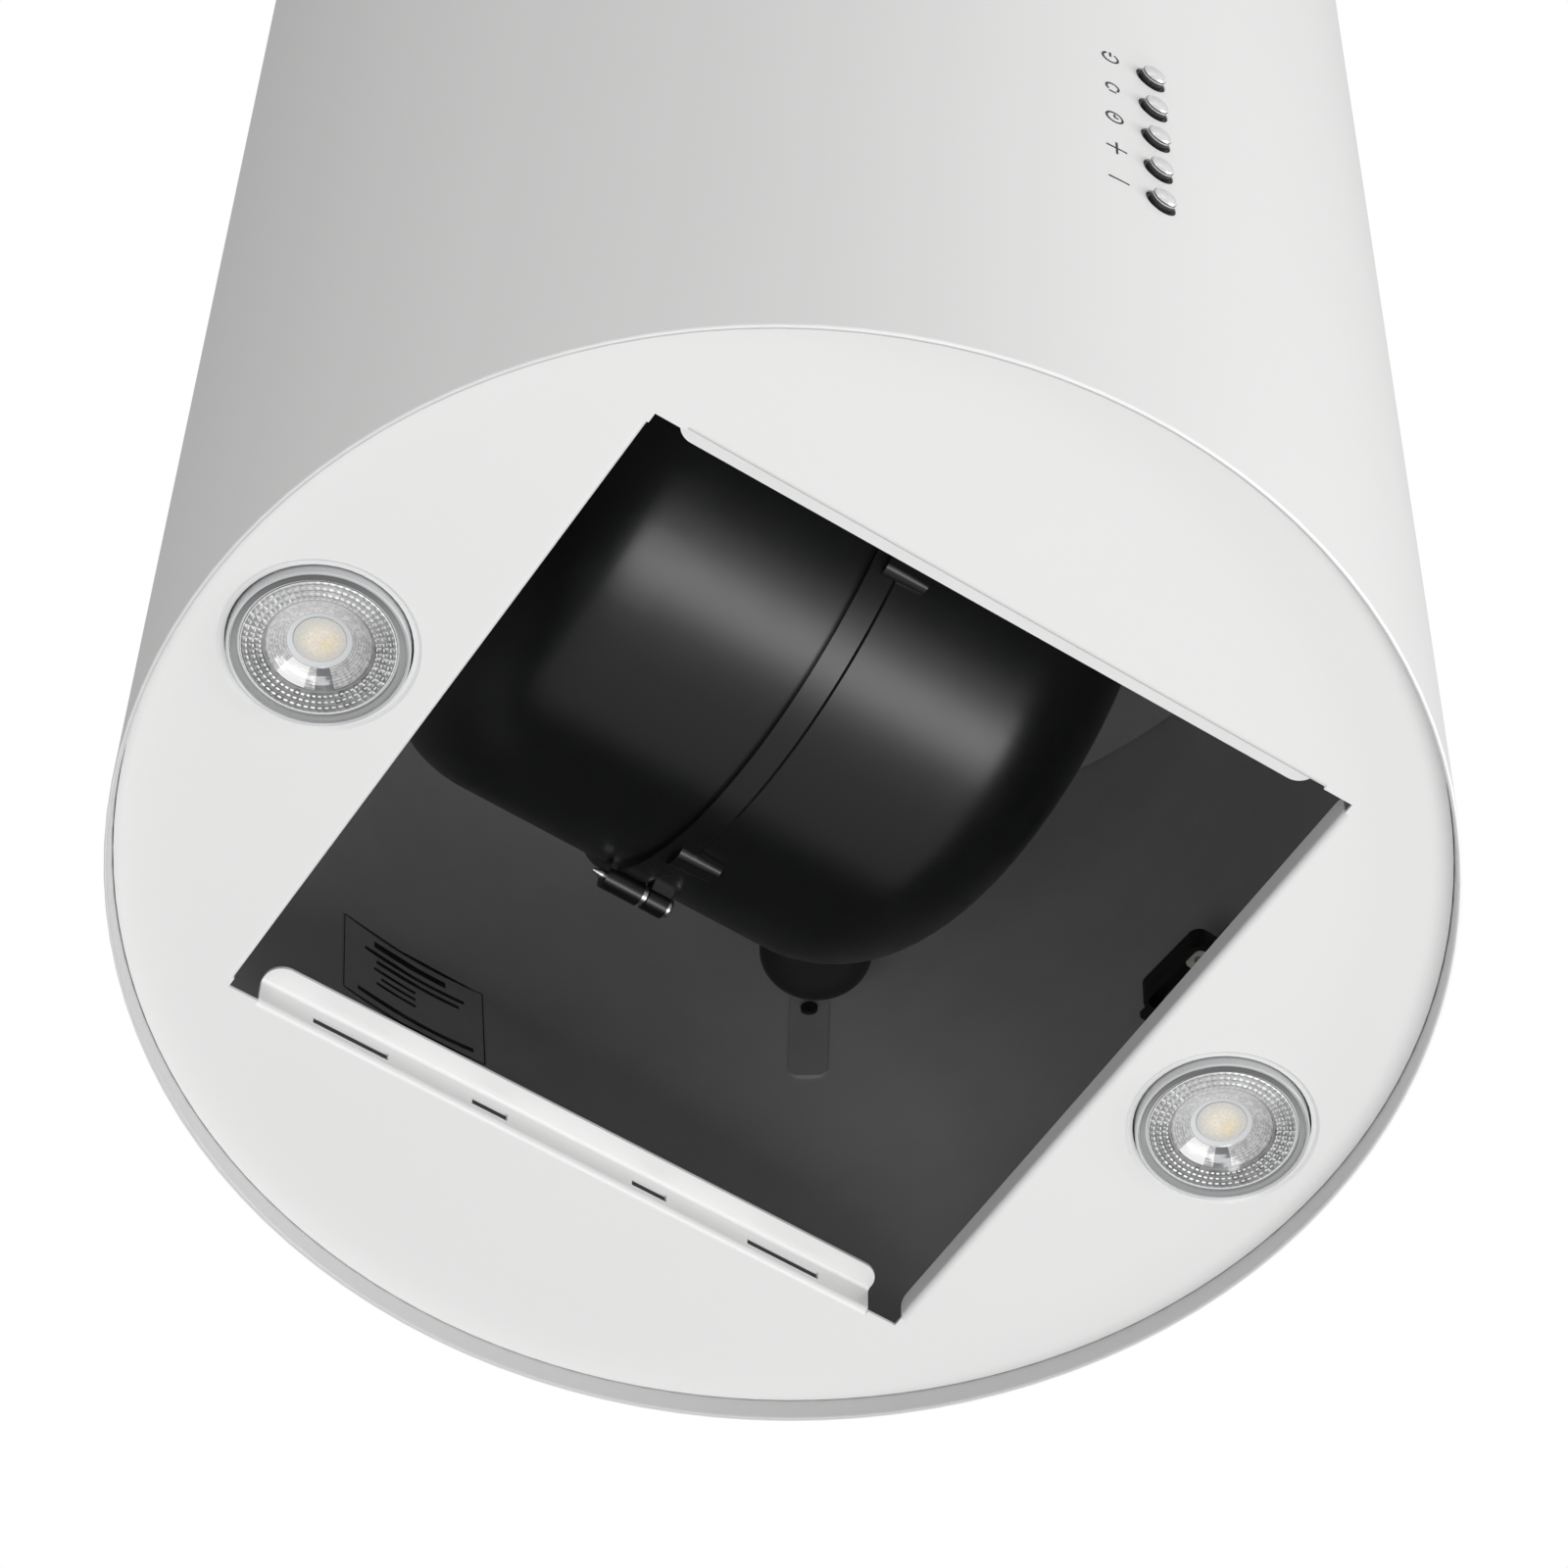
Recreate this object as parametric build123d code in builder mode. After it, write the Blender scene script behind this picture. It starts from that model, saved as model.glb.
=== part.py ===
from build123d import *
import math
import os

# Island range hood: a white sheet-steel drum that hangs from the ceiling, drawn with
# its suction opening free.  Millimetres, +Z up.  The origin is the centre of the
# ceiling plate's top face, the front with the buttons looks along -Y.

os.makedirs("parts", exist_ok=True)

# ---------------------------------------------------------------- driving dimensions
total_height = 900.0
body_r = 190.0
body_wall = 1.5
body_height = 600.0
sheet = 1.0

sleeve_gap = 1.0
sleeve_wall = 1.0
sleeve_overlap = 35.0
ceiling_gap = 1.0

panel_recess = 7.8
panel_gap = 0.3
opening = 228.6
lip_length = opening - 19.4
lip_height = 11.1
lip_flange = 7.8
lip_corner = 6.0
side_lip_length = opening - 6.6
side_lip_height = 8.7
bend_r = 1.6
slot_height = 3.2
short_slot = (opening * 0.12, 12.0)
long_slot = (opening * 0.325, 25.0)

lamp_y = -1.0
bulb_r = 25.35
bulb_length = 46.0
bulb_proud = 2.2
bulb_hole_gap = 0.6
seat_r = bulb_r + 2.9
seat_depth = 0.9

button_count = 5
button_first = 124.4
button_x = 1.6
button_pitch = 18.6
button_r = 3.9
button_proud = 3.3
button_dome = 0.5
button_travel = 1.2
button_ring = button_r + 1.2
slide_gap = 0.05
part_gap = 0.3

blower_y = 10.6
blower_height = 186.0
blower_r = 102.0
blower_wall = 2.2
blower_fillet = 40.0
blower_left = -97.0
blower_right = 93.0
seam_x = -6.5
seam_band = 9.5
seam_rise = 2.2
inlet_r = 62.0
neck_r = 73.0
neck_flange_r = 92.0
neck_flange = 3.0

deck_height = blower_height + blower_r + 15.0
deck_sheet = 1.5
duct_r = 75.0
collar_wall = 1.5
collar_height = 62.0
flap_height = 26.0
flap_sheet = 1.2
flap_pin_r = 1.5
flap_pin_y = 5.0

rail_size = 25.0
rail_sheet = 2.0
rail_offset = 118.0
rail_gap = 0.2
lower_rail_height = 315.0
rail_overlap = 139.5
plate_sheet = 3.0
plate_side = 252.0
ceiling_hole_r = 4.25
ceiling_spacing = 200.0
ceiling_duct_r = 85.0

screw_r = 2.0
bolt_r = 2.5

# ------------------------------------------------------------------- derived places
rim_z = -total_height
inner_r = body_r - body_wall
panel_z = rim_z + panel_recess
panel_top = panel_z + sheet
half = opening / 2
lamp_x = (half + inner_r) / 2
blower_z = rim_z + blower_height
blower_axis = Axis((0, blower_y, blower_z), (1, 0, 0))
deck_z = rim_z + deck_height
deck_top = deck_z + deck_sheet
sleeve_r = inner_r - sleeve_gap


def section_plane(x, y, z):
    """Upright plane through a point: local x along +X, local y along +Z."""
    return Plane(origin=(x, y, z), x_dir=(1, 0, 0), z_dir=(0, -1, 0))


def radial_plane(angle, radius, z):
    """Plane facing outwards at an angle round the hood: local x sideways, local y up."""
    turn = math.radians(angle)
    outward = (math.cos(turn), math.sin(turn), 0)
    origin = (radius * outward[0], radius * outward[1], z)
    return Plane(origin=origin, x_dir=(-outward[1], outward[0], 0), z_dir=outward)


def around(radius, angle):
    """Point at a radius and an angle round the hood's axis."""
    turn = math.radians(angle)
    return (radius * math.cos(turn), radius * math.sin(turn))


def dome(base, rise):
    """Radius of a dome and the angle from its top to its edge."""
    radius = (base**2 + rise**2) / (2 * rise)
    return radius, math.degrees(math.asin(base / radius))


def ring(outer, inner, plane):
    """Flat ring on a plane."""
    with BuildSketch(plane) as flat_ring:
        Circle(outer)
        Circle(inner, mode=Mode.SUBTRACT)
    return flat_ring.sketch


# ------------------------------------------------------------------------ body shell
button_heights = [rim_z + button_first + button_pitch * i for i in range(button_count)]
module_margin = 12.0
stud_margin = 6.0
module_bottom = button_heights[0] - module_margin
module_top = button_heights[-1] + module_margin
stud_heights = [module_bottom - stud_margin, module_top + stud_margin]
stud_r = 2.0
stud_length = 7.0
hole_gap = 0.1

with BuildPart() as body_shell:
    extrude(ring(body_r, inner_r, Plane.XY.offset(rim_z)), amount=body_height)
    rim_edges = body_shell.edges().filter_by(GeomType.CIRCLE).group_by(Axis.Z)[0]
    fillet(rim_edges, radius=body_wall * 0.45)
    with BuildSketch(Plane.XZ.offset(body_r + 1)):
        with Locations(*[(button_x, z) for z in button_heights]):
            Circle(button_ring + hole_gap)
    extrude(amount=-(body_wall + 4), mode=Mode.SUBTRACT)
    with BuildSketch(Plane.XZ.offset(inner_r + body_wall / 2)):
        with Locations(*[(button_x, z) for z in stud_heights]):
            Circle(stud_r)
    extrude(amount=-stud_length)

body_shell.part.label = "body_shell"
export_step(body_shell.part, "parts/body_shell.step")

# -------------------------------------------------------------------- upper sleeve
body_top = rim_z + body_height
sleeve_height = total_height - body_height - ceiling_gap + sleeve_overlap

with BuildPart() as upper_sleeve:
    sleeve_bottom = -ceiling_gap - sleeve_height
    sleeve_ring = ring(sleeve_r, sleeve_r - sleeve_wall, Plane.XY.offset(sleeve_bottom))
    extrude(sleeve_ring, amount=sleeve_height)
    end_edges = upper_sleeve.edges().filter_by(GeomType.CIRCLE)
    chamfer(end_edges, length=sleeve_wall * 0.3)

upper_sleeve.part.label = "upper_sleeve"
export_step(upper_sleeve.part, "parts/upper_sleeve.step")

# -------------------------------------------------------------------- bottom panel
panel_r = inner_r - panel_gap
bend_out = bend_r + sheet / 2
panel_stud_angles = (75, 105, 255, 285)
panel_stud_inset = 11.5
panel_stud_r = inner_r - panel_stud_inset
panel_stud_base_r = 3.5
panel_stud_base = 11.0
panel_stud_length = 22.0
panel_stud_points = [around(panel_stud_r, angle) for angle in panel_stud_angles]
lamp_sites = {"left": -lamp_x, "right": lamp_x}
lamp_hole_r = bulb_r + bulb_hole_gap


def lip_profile(plane, height, flange):
    """Bent sheet strip on a plane: from the panel up the web and into the flange."""
    middle = panel_z + sheet / 2
    web = half + sheet / 2
    points = [(web + bend_out + 1.0, middle), (web, middle), (web, panel_z + height)]
    if flange:
        points[-1] = (web, panel_z + height - sheet / 2)
        points.append((half - flange, panel_z + height - sheet / 2))
    with BuildSketch(plane) as profile:
        with BuildLine():
            FilletPolyline(*points, radius=bend_r)
        trace(line_width=sheet)
    return profile.sketch


with BuildPart() as bottom_panel:
    with BuildSketch(Plane.XY.offset(panel_z)):
        Circle(panel_r)
        Rectangle(opening, opening, mode=Mode.SUBTRACT)
        Rectangle(lip_length, opening + 2 * bend_out + sheet, mode=Mode.SUBTRACT)
        Rectangle(opening + 2 * bend_out + sheet, side_lip_length, mode=Mode.SUBTRACT)
        with Locations(*[(x, lamp_y) for x in lamp_sites.values()]):
            Circle(seat_r, mode=Mode.SUBTRACT)
    extrude(amount=sheet)
    for side in (1, -1):
        across = Plane(origin=(0, 0, 0), x_dir=(0, side, 0), z_dir=(side, 0, 0))
        extrude(lip_profile(across, lip_height, lip_flange), amount=lip_length / 2, both=True)
        along = Plane(origin=(0, 0, 0), x_dir=(side, 0, 0), z_dir=(0, -side, 0))
        extrude(lip_profile(along, side_lip_height, 0), amount=side_lip_length / 2, both=True)
    flange_corners = bottom_panel.edges().filter_by(Axis.Z).filter_by(
        lambda edge: abs(abs(edge.center().Y) - (half - lip_flange)) < 0.01
    )
    fillet(flange_corners, radius=lip_corner)
    side_lip_corners = bottom_panel.edges().filter_by(Axis.X).filter_by(
        lambda edge: abs(edge.center().Z - panel_z - side_lip_height) < 0.01
        and abs(abs(edge.center().Y) - side_lip_length / 2) < 0.01
    )
    fillet(side_lip_corners, radius=lip_corner / 2)
    with BuildSketch(Plane.XZ.offset(-half - 3)):
        slot_z = panel_z + lip_height * 0.43
        for centre, length in (short_slot, long_slot):
            with Locations((centre, slot_z), (-centre, slot_z)):
                Rectangle(length, slot_height)
    extrude(amount=opening + 6, mode=Mode.SUBTRACT)
    for x in lamp_sites.values():
        with BuildSketch(section_plane(x, lamp_y, panel_z)):
            with BuildLine():
                Polyline(
                    (lamp_hole_r, seat_depth),
                    (seat_r - 1.0, seat_depth * 0.8),
                    (seat_r, 0),
                    (seat_r + 0.5, 0),
                    (seat_r + 0.5, sheet),
                    (seat_r, sheet),
                    (seat_r - 1.0, sheet + seat_depth * 0.8),
                    (lamp_hole_r, sheet + seat_depth),
                    close=True,
                )
            make_face()
        revolve(axis=Axis((x, lamp_y, 0), (0, 0, 1)))
    with BuildSketch(Plane.XY.offset(panel_top)):
        with Locations(*panel_stud_points):
            Circle(panel_stud_base_r)
    extrude(amount=panel_stud_base)
    with BuildSketch(Plane.XY.offset(panel_top)):
        with Locations(*panel_stud_points):
            Circle(screw_r)
    extrude(amount=panel_stud_length)

bottom_panel.part.label = "bottom_panel"
export_step(bottom_panel.part, "parts/bottom_panel.step")

# ------------------------------------------------------- brackets that hold the panel
bracket_sheet = 1.2
bracket_width = 16.0
bracket_foot = 20.0
bracket_leg = 20.0
bracket_z = panel_top + panel_stud_base


def wall_bracket(angle, z, foot, leg):
    """L bracket against the inner wall: a foot at height z and a leg that rises or drops."""
    wall = Plane(origin=(0, 0, z), x_dir=radial_plane(angle, 0, 0).z_dir, z_dir=(0, 0, 1))
    side = Plane(origin=(0, 0, z), x_dir=wall.x_dir, z_dir=wall.x_dir.cross(Vector(0, 0, 1)))
    reach = inner_r - part_gap
    with BuildPart() as bracket:
        with BuildSketch(side):
            with BuildLine():
                Polyline(
                    (reach - foot, 0),
                    (reach, 0),
                    (reach, leg),
                    (reach - bracket_sheet, leg),
                    (reach - bracket_sheet, bracket_sheet if leg > 0 else -bracket_sheet),
                    (reach - foot, bracket_sheet if leg > 0 else -bracket_sheet),
                    close=True,
                )
            make_face()
        extrude(amount=bracket_width / 2, both=True)
    return bracket.part


with BuildPart() as panel_brackets:
    for angle in panel_stud_angles:
        add(wall_bracket(angle, bracket_z, bracket_foot, bracket_leg))
    with BuildSketch(Plane.XY.offset(bracket_z)):
        with Locations(*panel_stud_points):
            Circle(screw_r + 0.1)
    extrude(amount=bracket_sheet, mode=Mode.SUBTRACT)

panel_brackets.part.label = "panel_brackets"
export_step(panel_brackets.part, "parts/panel_brackets.step")

nut_size = 7.0
nut_height = 3.2

with BuildPart() as panel_nuts:
    with BuildSketch(Plane.XY.offset(bracket_z + bracket_sheet)):
        with Locations(*panel_stud_points):
            RegularPolygon(nut_size / 2, 6, major_radius=False)
            Circle(screw_r + 0.02, mode=Mode.SUBTRACT)
    extrude(amount=nut_height)

panel_nuts.part.label = "panel_nuts"
export_step(panel_nuts.part, "parts/panel_nuts.step")

# ----------------------------------------------------------------------------- lamps
bulb_face = panel_z - bulb_proud
lens_r = bulb_r - 1.0
lens_height = 3.0
rim_height = 7.0
reflector_r = bulb_r - 3.35
reflector_depth = 16.0
led_r = 7.0
led_height = 1.2
led_dome = 1.4
cap_r = 13.0
cap_height = 12.0
bulb_top = bulb_face + bulb_length
pin_spacing = 10.0
pin_r = 2.0
pin_length = 7.0
socket_r = 16.0
socket_height = 12.0
strap_sheet = 1.2
strap_width = 16.0
strap_reach = bulb_r + 7.65
strap_foot = 12.0
socket_screw_y = 11.0
socket_screw_length = 7.5
socket_screw_hole = 8.0


def around_lamp(x):
    """Upright section plane and turning axis of the lamp at x."""
    return section_plane(x, lamp_y, bulb_face), Axis((x, lamp_y, 0), (0, 0, 1))


def make_bulb_body(x):
    """Bulb shell with its rim, the reflector hollow, the cap and two pins."""
    plane, axis = around_lamp(x)
    led_floor = lens_height + reflector_depth
    with BuildPart() as bulb_body:
        with BuildSketch(plane):
            with BuildLine():
                Polyline(
                    (0, led_floor),
                    (led_r, led_floor),
                    (reflector_r, lens_height),
                    (lens_r, lens_height),
                    (lens_r, 0.4),
                    (bulb_r - 0.4, 0),
                    (bulb_r, 0.4),
                    (bulb_r, rim_height),
                    (bulb_r - 2.0, rim_height + 3.0),
                    (cap_r + 3.0, bulb_length - cap_height - 4.0),
                    (cap_r, bulb_length - cap_height),
                    (cap_r, bulb_length),
                    (0, bulb_length),
                    close=True,
                )
            make_face()
        revolve(axis=axis)
        with BuildSketch(Plane.XY.offset(bulb_top)):
            with Locations((x, lamp_y - pin_spacing / 2), (x, lamp_y + pin_spacing / 2)):
                Circle(pin_r)
        extrude(amount=pin_length)
    return bulb_body


def make_bulb_lens(x):
    """Clear front disc with a shallow crown in the middle and a flat rim."""
    plane, axis = around_lamp(x)
    with BuildPart() as bulb_lens:
        with BuildSketch(plane):
            with BuildLine():
                Line((0, 0.2), (led_r, 0.9))
                Line((led_r, 0.9), (reflector_r, 0.9))
                Line((reflector_r, 0.9), (reflector_r + 1.0, 0.4))
                Line((reflector_r + 1.0, 0.4), (lens_r, 0.4))
                Line((lens_r, 0.4), (lens_r, lens_height))
                Line((lens_r, lens_height), (0, lens_height))
                Line((0, lens_height), (0, 0.2))
            make_face()
        revolve(axis=axis)
    return bulb_lens


def make_led_chip(x):
    """Round light-emitting board with its low dome."""
    plane, axis = around_lamp(x)
    floor = lens_height + reflector_depth
    dome_base = led_r - 1.2
    dome_r, dome_angle = dome(dome_base, led_dome)
    dome_top = floor - led_height - led_dome
    with BuildPart() as led_chip:
        with BuildSketch(plane):
            with BuildLine():
                Line((0, floor), (led_r - 0.2, floor))
                Line((led_r - 0.2, floor), (led_r - 0.2, floor - led_height))
                Line((led_r - 0.2, floor - led_height), (dome_base, floor - led_height))
                CenterArc((0, dome_top + dome_r), dome_r, 270, dome_angle)
                Line((0, dome_top), (0, floor))
            make_face()
        revolve(axis=axis)
    return led_chip


def make_lamp_socket(x):
    """Ceramic holder on the cap's pins."""
    with BuildPart() as lamp_socket:
        with BuildSketch(Plane.XY.offset(bulb_top)):
            with Locations((x, lamp_y)):
                Circle(socket_r)
        extrude(amount=socket_height)
        chamfer(lamp_socket.edges().group_by(Axis.Z)[-1], length=1.5)
        with BuildSketch(Plane.XY.offset(bulb_top)):
            with Locations((x, lamp_y - pin_spacing / 2), (x, lamp_y + pin_spacing / 2)):
                Circle(pin_r + 0.3)
        extrude(amount=pin_length + 1.0, mode=Mode.SUBTRACT)
        with BuildSketch(Plane.XY.offset(bulb_top + socket_height)):
            with Locations((x, lamp_y - socket_screw_y), (x, lamp_y + socket_screw_y)):
                Circle(screw_r)
        extrude(amount=-socket_screw_hole, mode=Mode.SUBTRACT)
    return lamp_socket


def make_lamp_strap(x):
    """Bent strap over the bulb: two feet on the panel and a bridge that carries the holder."""
    bridge = bulb_top + socket_height
    half_sheet = strap_sheet / 2
    across = Plane(origin=(x, lamp_y, 0), x_dir=(0, 1, 0), z_dir=(1, 0, 0))
    foot = panel_top + half_sheet
    with BuildPart() as lamp_strap:
        with BuildSketch(across):
            with BuildLine():
                FilletPolyline(
                    (-strap_reach - strap_foot, foot),
                    (-strap_reach, foot),
                    (-strap_reach, bridge + half_sheet),
                    (strap_reach, bridge + half_sheet),
                    (strap_reach, foot),
                    (strap_reach + strap_foot, foot),
                    radius=bend_r,
                )
            trace(line_width=strap_sheet)
        extrude(amount=strap_width / 2, both=True)
        with BuildSketch(Plane.XY.offset(bridge)):
            with Locations((x, lamp_y - socket_screw_y), (x, lamp_y + socket_screw_y)):
                Circle(screw_r + 0.1)
        extrude(amount=strap_sheet, mode=Mode.SUBTRACT)
    return lamp_strap


for side, x in lamp_sites.items():
    bulb_body = make_bulb_body(x)
    bulb_body.part.label = f"{side}_bulb_body"
    export_step(bulb_body.part, f"parts/{side}_bulb_body.step")

    bulb_lens = make_bulb_lens(x)
    bulb_lens.part.label = f"{side}_bulb_lens"
    export_step(bulb_lens.part, f"parts/{side}_bulb_lens.step")

    led_chip = make_led_chip(x)
    led_chip.part.label = f"{side}_led_chip"
    export_step(led_chip.part, f"parts/{side}_led_chip.step")

    lamp_socket = make_lamp_socket(x)
    lamp_socket.part.label = f"{side}_lamp_socket"
    export_step(lamp_socket.part, f"parts/{side}_lamp_socket.step")

    lamp_strap = make_lamp_strap(x)
    lamp_strap.part.label = f"{side}_lamp_strap"
    export_step(lamp_strap.part, f"parts/{side}_lamp_strap.step")


def pan_screw(point, z, length, radius, head_up=True):
    """Pan-head screw standing on a plane at z: the head above it, the shank below."""
    turn = 1 if head_up else -1
    with BuildPart() as screw:
        with BuildSketch(Plane.XY.offset(z)):
            with Locations(point):
                Circle(radius * 1.9)
        extrude(amount=turn * radius * 1.2)
        outer_edges = screw.edges().filter_by(GeomType.CIRCLE).sort_by(Axis.Z)
        fillet(outer_edges[-1] if head_up else outer_edges[0], radius=radius * 0.8)
        with BuildSketch(Plane.XY.offset(z)):
            with Locations(point):
                Circle(radius - 0.02)
        extrude(amount=-turn * length)
    return screw.part


with BuildPart() as socket_screws:
    strap_top = bulb_top + socket_height + strap_sheet
    for x in lamp_sites.values():
        for offset in (-socket_screw_y, socket_screw_y):
            add(pan_screw((x, lamp_y + offset), strap_top, socket_screw_length, screw_r))

socket_screws.part.label = "socket_screws"
export_step(socket_screws.part, "parts/socket_screws.step")

# --------------------------------------------------------------------------- buttons
frame_front = inner_r - 0.5
frame_sheet = 1.6
frame_width = 15.0
frame_margin = 5.0
frame_corner = 3.0
cap_flange_r = button_r + 1.4
cap_flange = 1.2
stem_r = 1.5
stem_length = 1.2
button_bevel = 0.6
button_edge = 1.1
board_sheet = 1.6
switch_side = 6.0
switch_height = 3.5
plunger_r = 1.6
plunger_height = 0.8
bezel_recess = 0.6
cap_back = frame_front - frame_sheet - 0.1
cap_end = cap_back - cap_flange
plunger_y = cap_end - stem_length - button_travel - part_gap
switch_y = plunger_y - plunger_height
board_y = switch_y - switch_height
module_width = 18.0
cover_wall = 1.5
rib_width = 2.0
rib_depth = 2.0

with BuildPart() as button_frame:
    frame_bottom = stud_heights[0] - frame_margin
    frame_top = stud_heights[-1] + frame_margin
    with BuildSketch(Plane.XZ.offset(frame_front)):
        with Locations((button_x, (frame_bottom + frame_top) / 2)):
            RectangleRounded(frame_width, frame_top - frame_bottom, frame_corner)
    extrude(amount=-frame_sheet)
    with BuildSketch(Plane.XZ.offset(frame_front)):
        with Locations(*[(button_x, z) for z in button_heights]):
            Circle(button_ring)
    extrude(amount=body_r - bezel_recess - frame_front)
    with BuildSketch(Plane.XZ.offset(body_r)):
        with Locations(*[(button_x, z) for z in button_heights]):
            Circle(button_r + slide_gap)
    extrude(amount=-(body_r - frame_front + frame_sheet + 1), mode=Mode.SUBTRACT)
    with BuildSketch(Plane.XZ.offset(body_r)):
        with Locations(*[(button_x, z) for z in stud_heights]):
            Circle(stud_r + 0.1)
    extrude(amount=-(body_r - frame_front + frame_sheet + 1), mode=Mode.SUBTRACT)

button_frame.part.label = "button_frame"
export_step(button_frame.part, "parts/button_frame.step")


def make_button(z):
    """Domed cap with a polished rim, a collar behind the frame and a short stem."""
    turning = Axis((button_x, 0, z), (0, 1, 0))
    profile_plane = Plane(origin=(button_x, 0, z), x_dir=(0, -1, 0), z_dir=(1, 0, 0))
    face_y = body_r + button_proud
    dome_r, dome_angle = dome(button_r - button_edge, button_dome)
    with BuildPart() as button:
        with BuildSketch(profile_plane):
            with BuildLine():
                Polyline(
                    (cap_end - stem_length, 0),
                    (cap_end - stem_length, stem_r),
                    (cap_end, stem_r),
                    (cap_end, cap_flange_r),
                    (cap_back, cap_flange_r),
                    (cap_back, button_r),
                    (face_y - button_dome - button_bevel, button_r),
                    (face_y - button_dome, button_r - button_bevel),
                    (face_y - button_dome, button_r - button_edge),
                )
                CenterArc((face_y - dome_r, 0), dome_r, 0, dome_angle)
                Line((face_y, 0), (cap_end - stem_length, 0))
            make_face()
        revolve(axis=turning)
    return button


button_names = ["button_minus", "button_plus", "button_timer", "button_lamp", "button_power"]
for name, z in zip(button_names, button_heights):
    button = make_button(z)
    button.part.label = name
    export_step(button.part, f"parts/{name}.step")

with BuildPart() as switch_board:
    with BuildSketch(Plane.XZ.offset(board_y)):
        with Locations((button_x, (module_bottom + module_top) / 2)):
            Rectangle(module_width - 2 * cover_wall - 1.0, module_top - module_bottom)
    extrude(amount=-board_sheet)

switch_board.part.label = "switch_board"
export_step(switch_board.part, "parts/switch_board.step")

with BuildPart() as tact_switches:
    with BuildSketch(Plane.XZ.offset(board_y)):
        with Locations(*[(button_x, z) for z in button_heights]):
            Rectangle(switch_side, switch_side)
    extrude(amount=switch_height)
    with BuildSketch(Plane.XZ.offset(switch_y)):
        with Locations(*[(button_x, z) for z in button_heights]):
            Circle(plunger_r)
    extrude(amount=plunger_height)

tact_switches.part.label = "tact_switches"
export_step(tact_switches.part, "parts/tact_switches.step")

cover_front = frame_front - frame_sheet
cover_bottom = module_bottom - cover_wall
cover_top = module_top + cover_wall
cover_back = board_y - board_sheet - cover_wall - rib_depth
rib_inset = 3.0
rib_heights = (cover_bottom + rib_inset, (cover_bottom + cover_top) / 2, cover_top - rib_inset)

with BuildPart() as switch_cover:
    cover_middle = (cover_bottom + cover_top) / 2
    cover_size = cover_top - cover_bottom
    with BuildSketch(Plane.XZ.offset(cover_front)):
        with Locations((button_x, cover_middle)):
            Rectangle(module_width, cover_size)
    extrude(amount=-(cover_front - cover_back))
    fillet(switch_cover.edges().group_by(Axis.Y)[-1], radius=1.2)
    with BuildSketch(Plane.XZ.offset(cover_front)):
        with Locations((button_x, cover_middle)):
            Rectangle(module_width - 2 * cover_wall, cover_size - 2 * cover_wall)
    extrude(amount=-(cover_front - cover_back - cover_wall), mode=Mode.SUBTRACT)
    with BuildSketch(Plane.XZ.offset(board_y - board_sheet)):
        with Locations(*[(button_x, z) for z in rib_heights]):
            Rectangle(module_width - 2 * cover_wall, rib_width)
    extrude(amount=-(rib_depth + part_gap))

switch_cover.part.label = "switch_cover"
export_step(switch_cover.part, "parts/switch_cover.step")

with BuildPart() as module_nuts:
    with BuildSketch(Plane.XZ.offset(frame_front - frame_sheet)):
        with Locations(*[(button_x, z) for z in stud_heights]):
            RegularPolygon(nut_size / 2, 6, major_radius=False)
            Circle(stud_r + 0.02, mode=Mode.SUBTRACT)
    extrude(amount=-nut_height)

module_nuts.part.label = "module_nuts"
export_step(module_nuts.part, "parts/module_nuts.step")

# ---------------------------------------------------------------------------- blower
lug_angles = (-188, -131, -63, -8)
lug_r = 3.6
lug_seat = blower_r + 1.2
lug_start = seam_x + 3.8
lug_end = seam_x + 18.3
ear_angles = (-152, -42, 28, 152)
ear_r = 4.0
ear_seat = blower_r + 4.8
ear_gap = 0.3
left_ear_end = seam_x + 10.5
right_ear_start = seam_x + 12.5
right_ear_end = seam_x + 19.5
ear_root = 2.4
seam_screw_r = 1.6
neck_centre = (0, blower_y)
flange_bolt_r = 84.0
flange_bolt_angles = (0, 60, 120, 180, 240, 300)
bell_depth = 9.0
inlet_screw_r = 58.0
inlet_screw_angles = (30, 150, 270)
inlet_ring_r = 61.0


def across_blower(x):
    """Plane square to the blower's axis: local x along +Y, local y along +Z."""
    return Plane(origin=(x, blower_y, blower_z), x_dir=(0, 1, 0), z_dir=(1, 0, 0))


def polar(radius, angle):
    """Point on such a plane at an angle that turns from the back (+Y) to the top (+Z)."""
    turn = math.radians(angle)
    return (radius * math.cos(turn), radius * math.sin(turn))


def drum_profile(inset):
    """Half section of the blower drum, inset by a wall, from the axis to the rounded ends."""
    left, right = blower_left + inset, blower_right - inset
    radius, corner = blower_r - inset, blower_fillet - inset
    with BuildSketch(section_plane(0, blower_y, blower_z)) as profile:
        with BuildLine():
            Line((left, 0), (left, radius - corner))
            RadiusArc((left, radius - corner), (left + corner, radius), corner)
            Line((left + corner, radius), (right - corner, radius))
            RadiusArc((right - corner, radius), (right, radius - corner), corner)
            Line((right, radius - corner), (right, 0))
            Line((right, 0), (left, 0))
        make_face()
    return profile.sketch


def neck_disc(radius, z):
    """Disc on the outlet neck's axis."""
    with BuildSketch(Plane.XY.offset(z)) as disc:
        with Locations(neck_centre):
            Circle(radius)
    return disc.sketch


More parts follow.
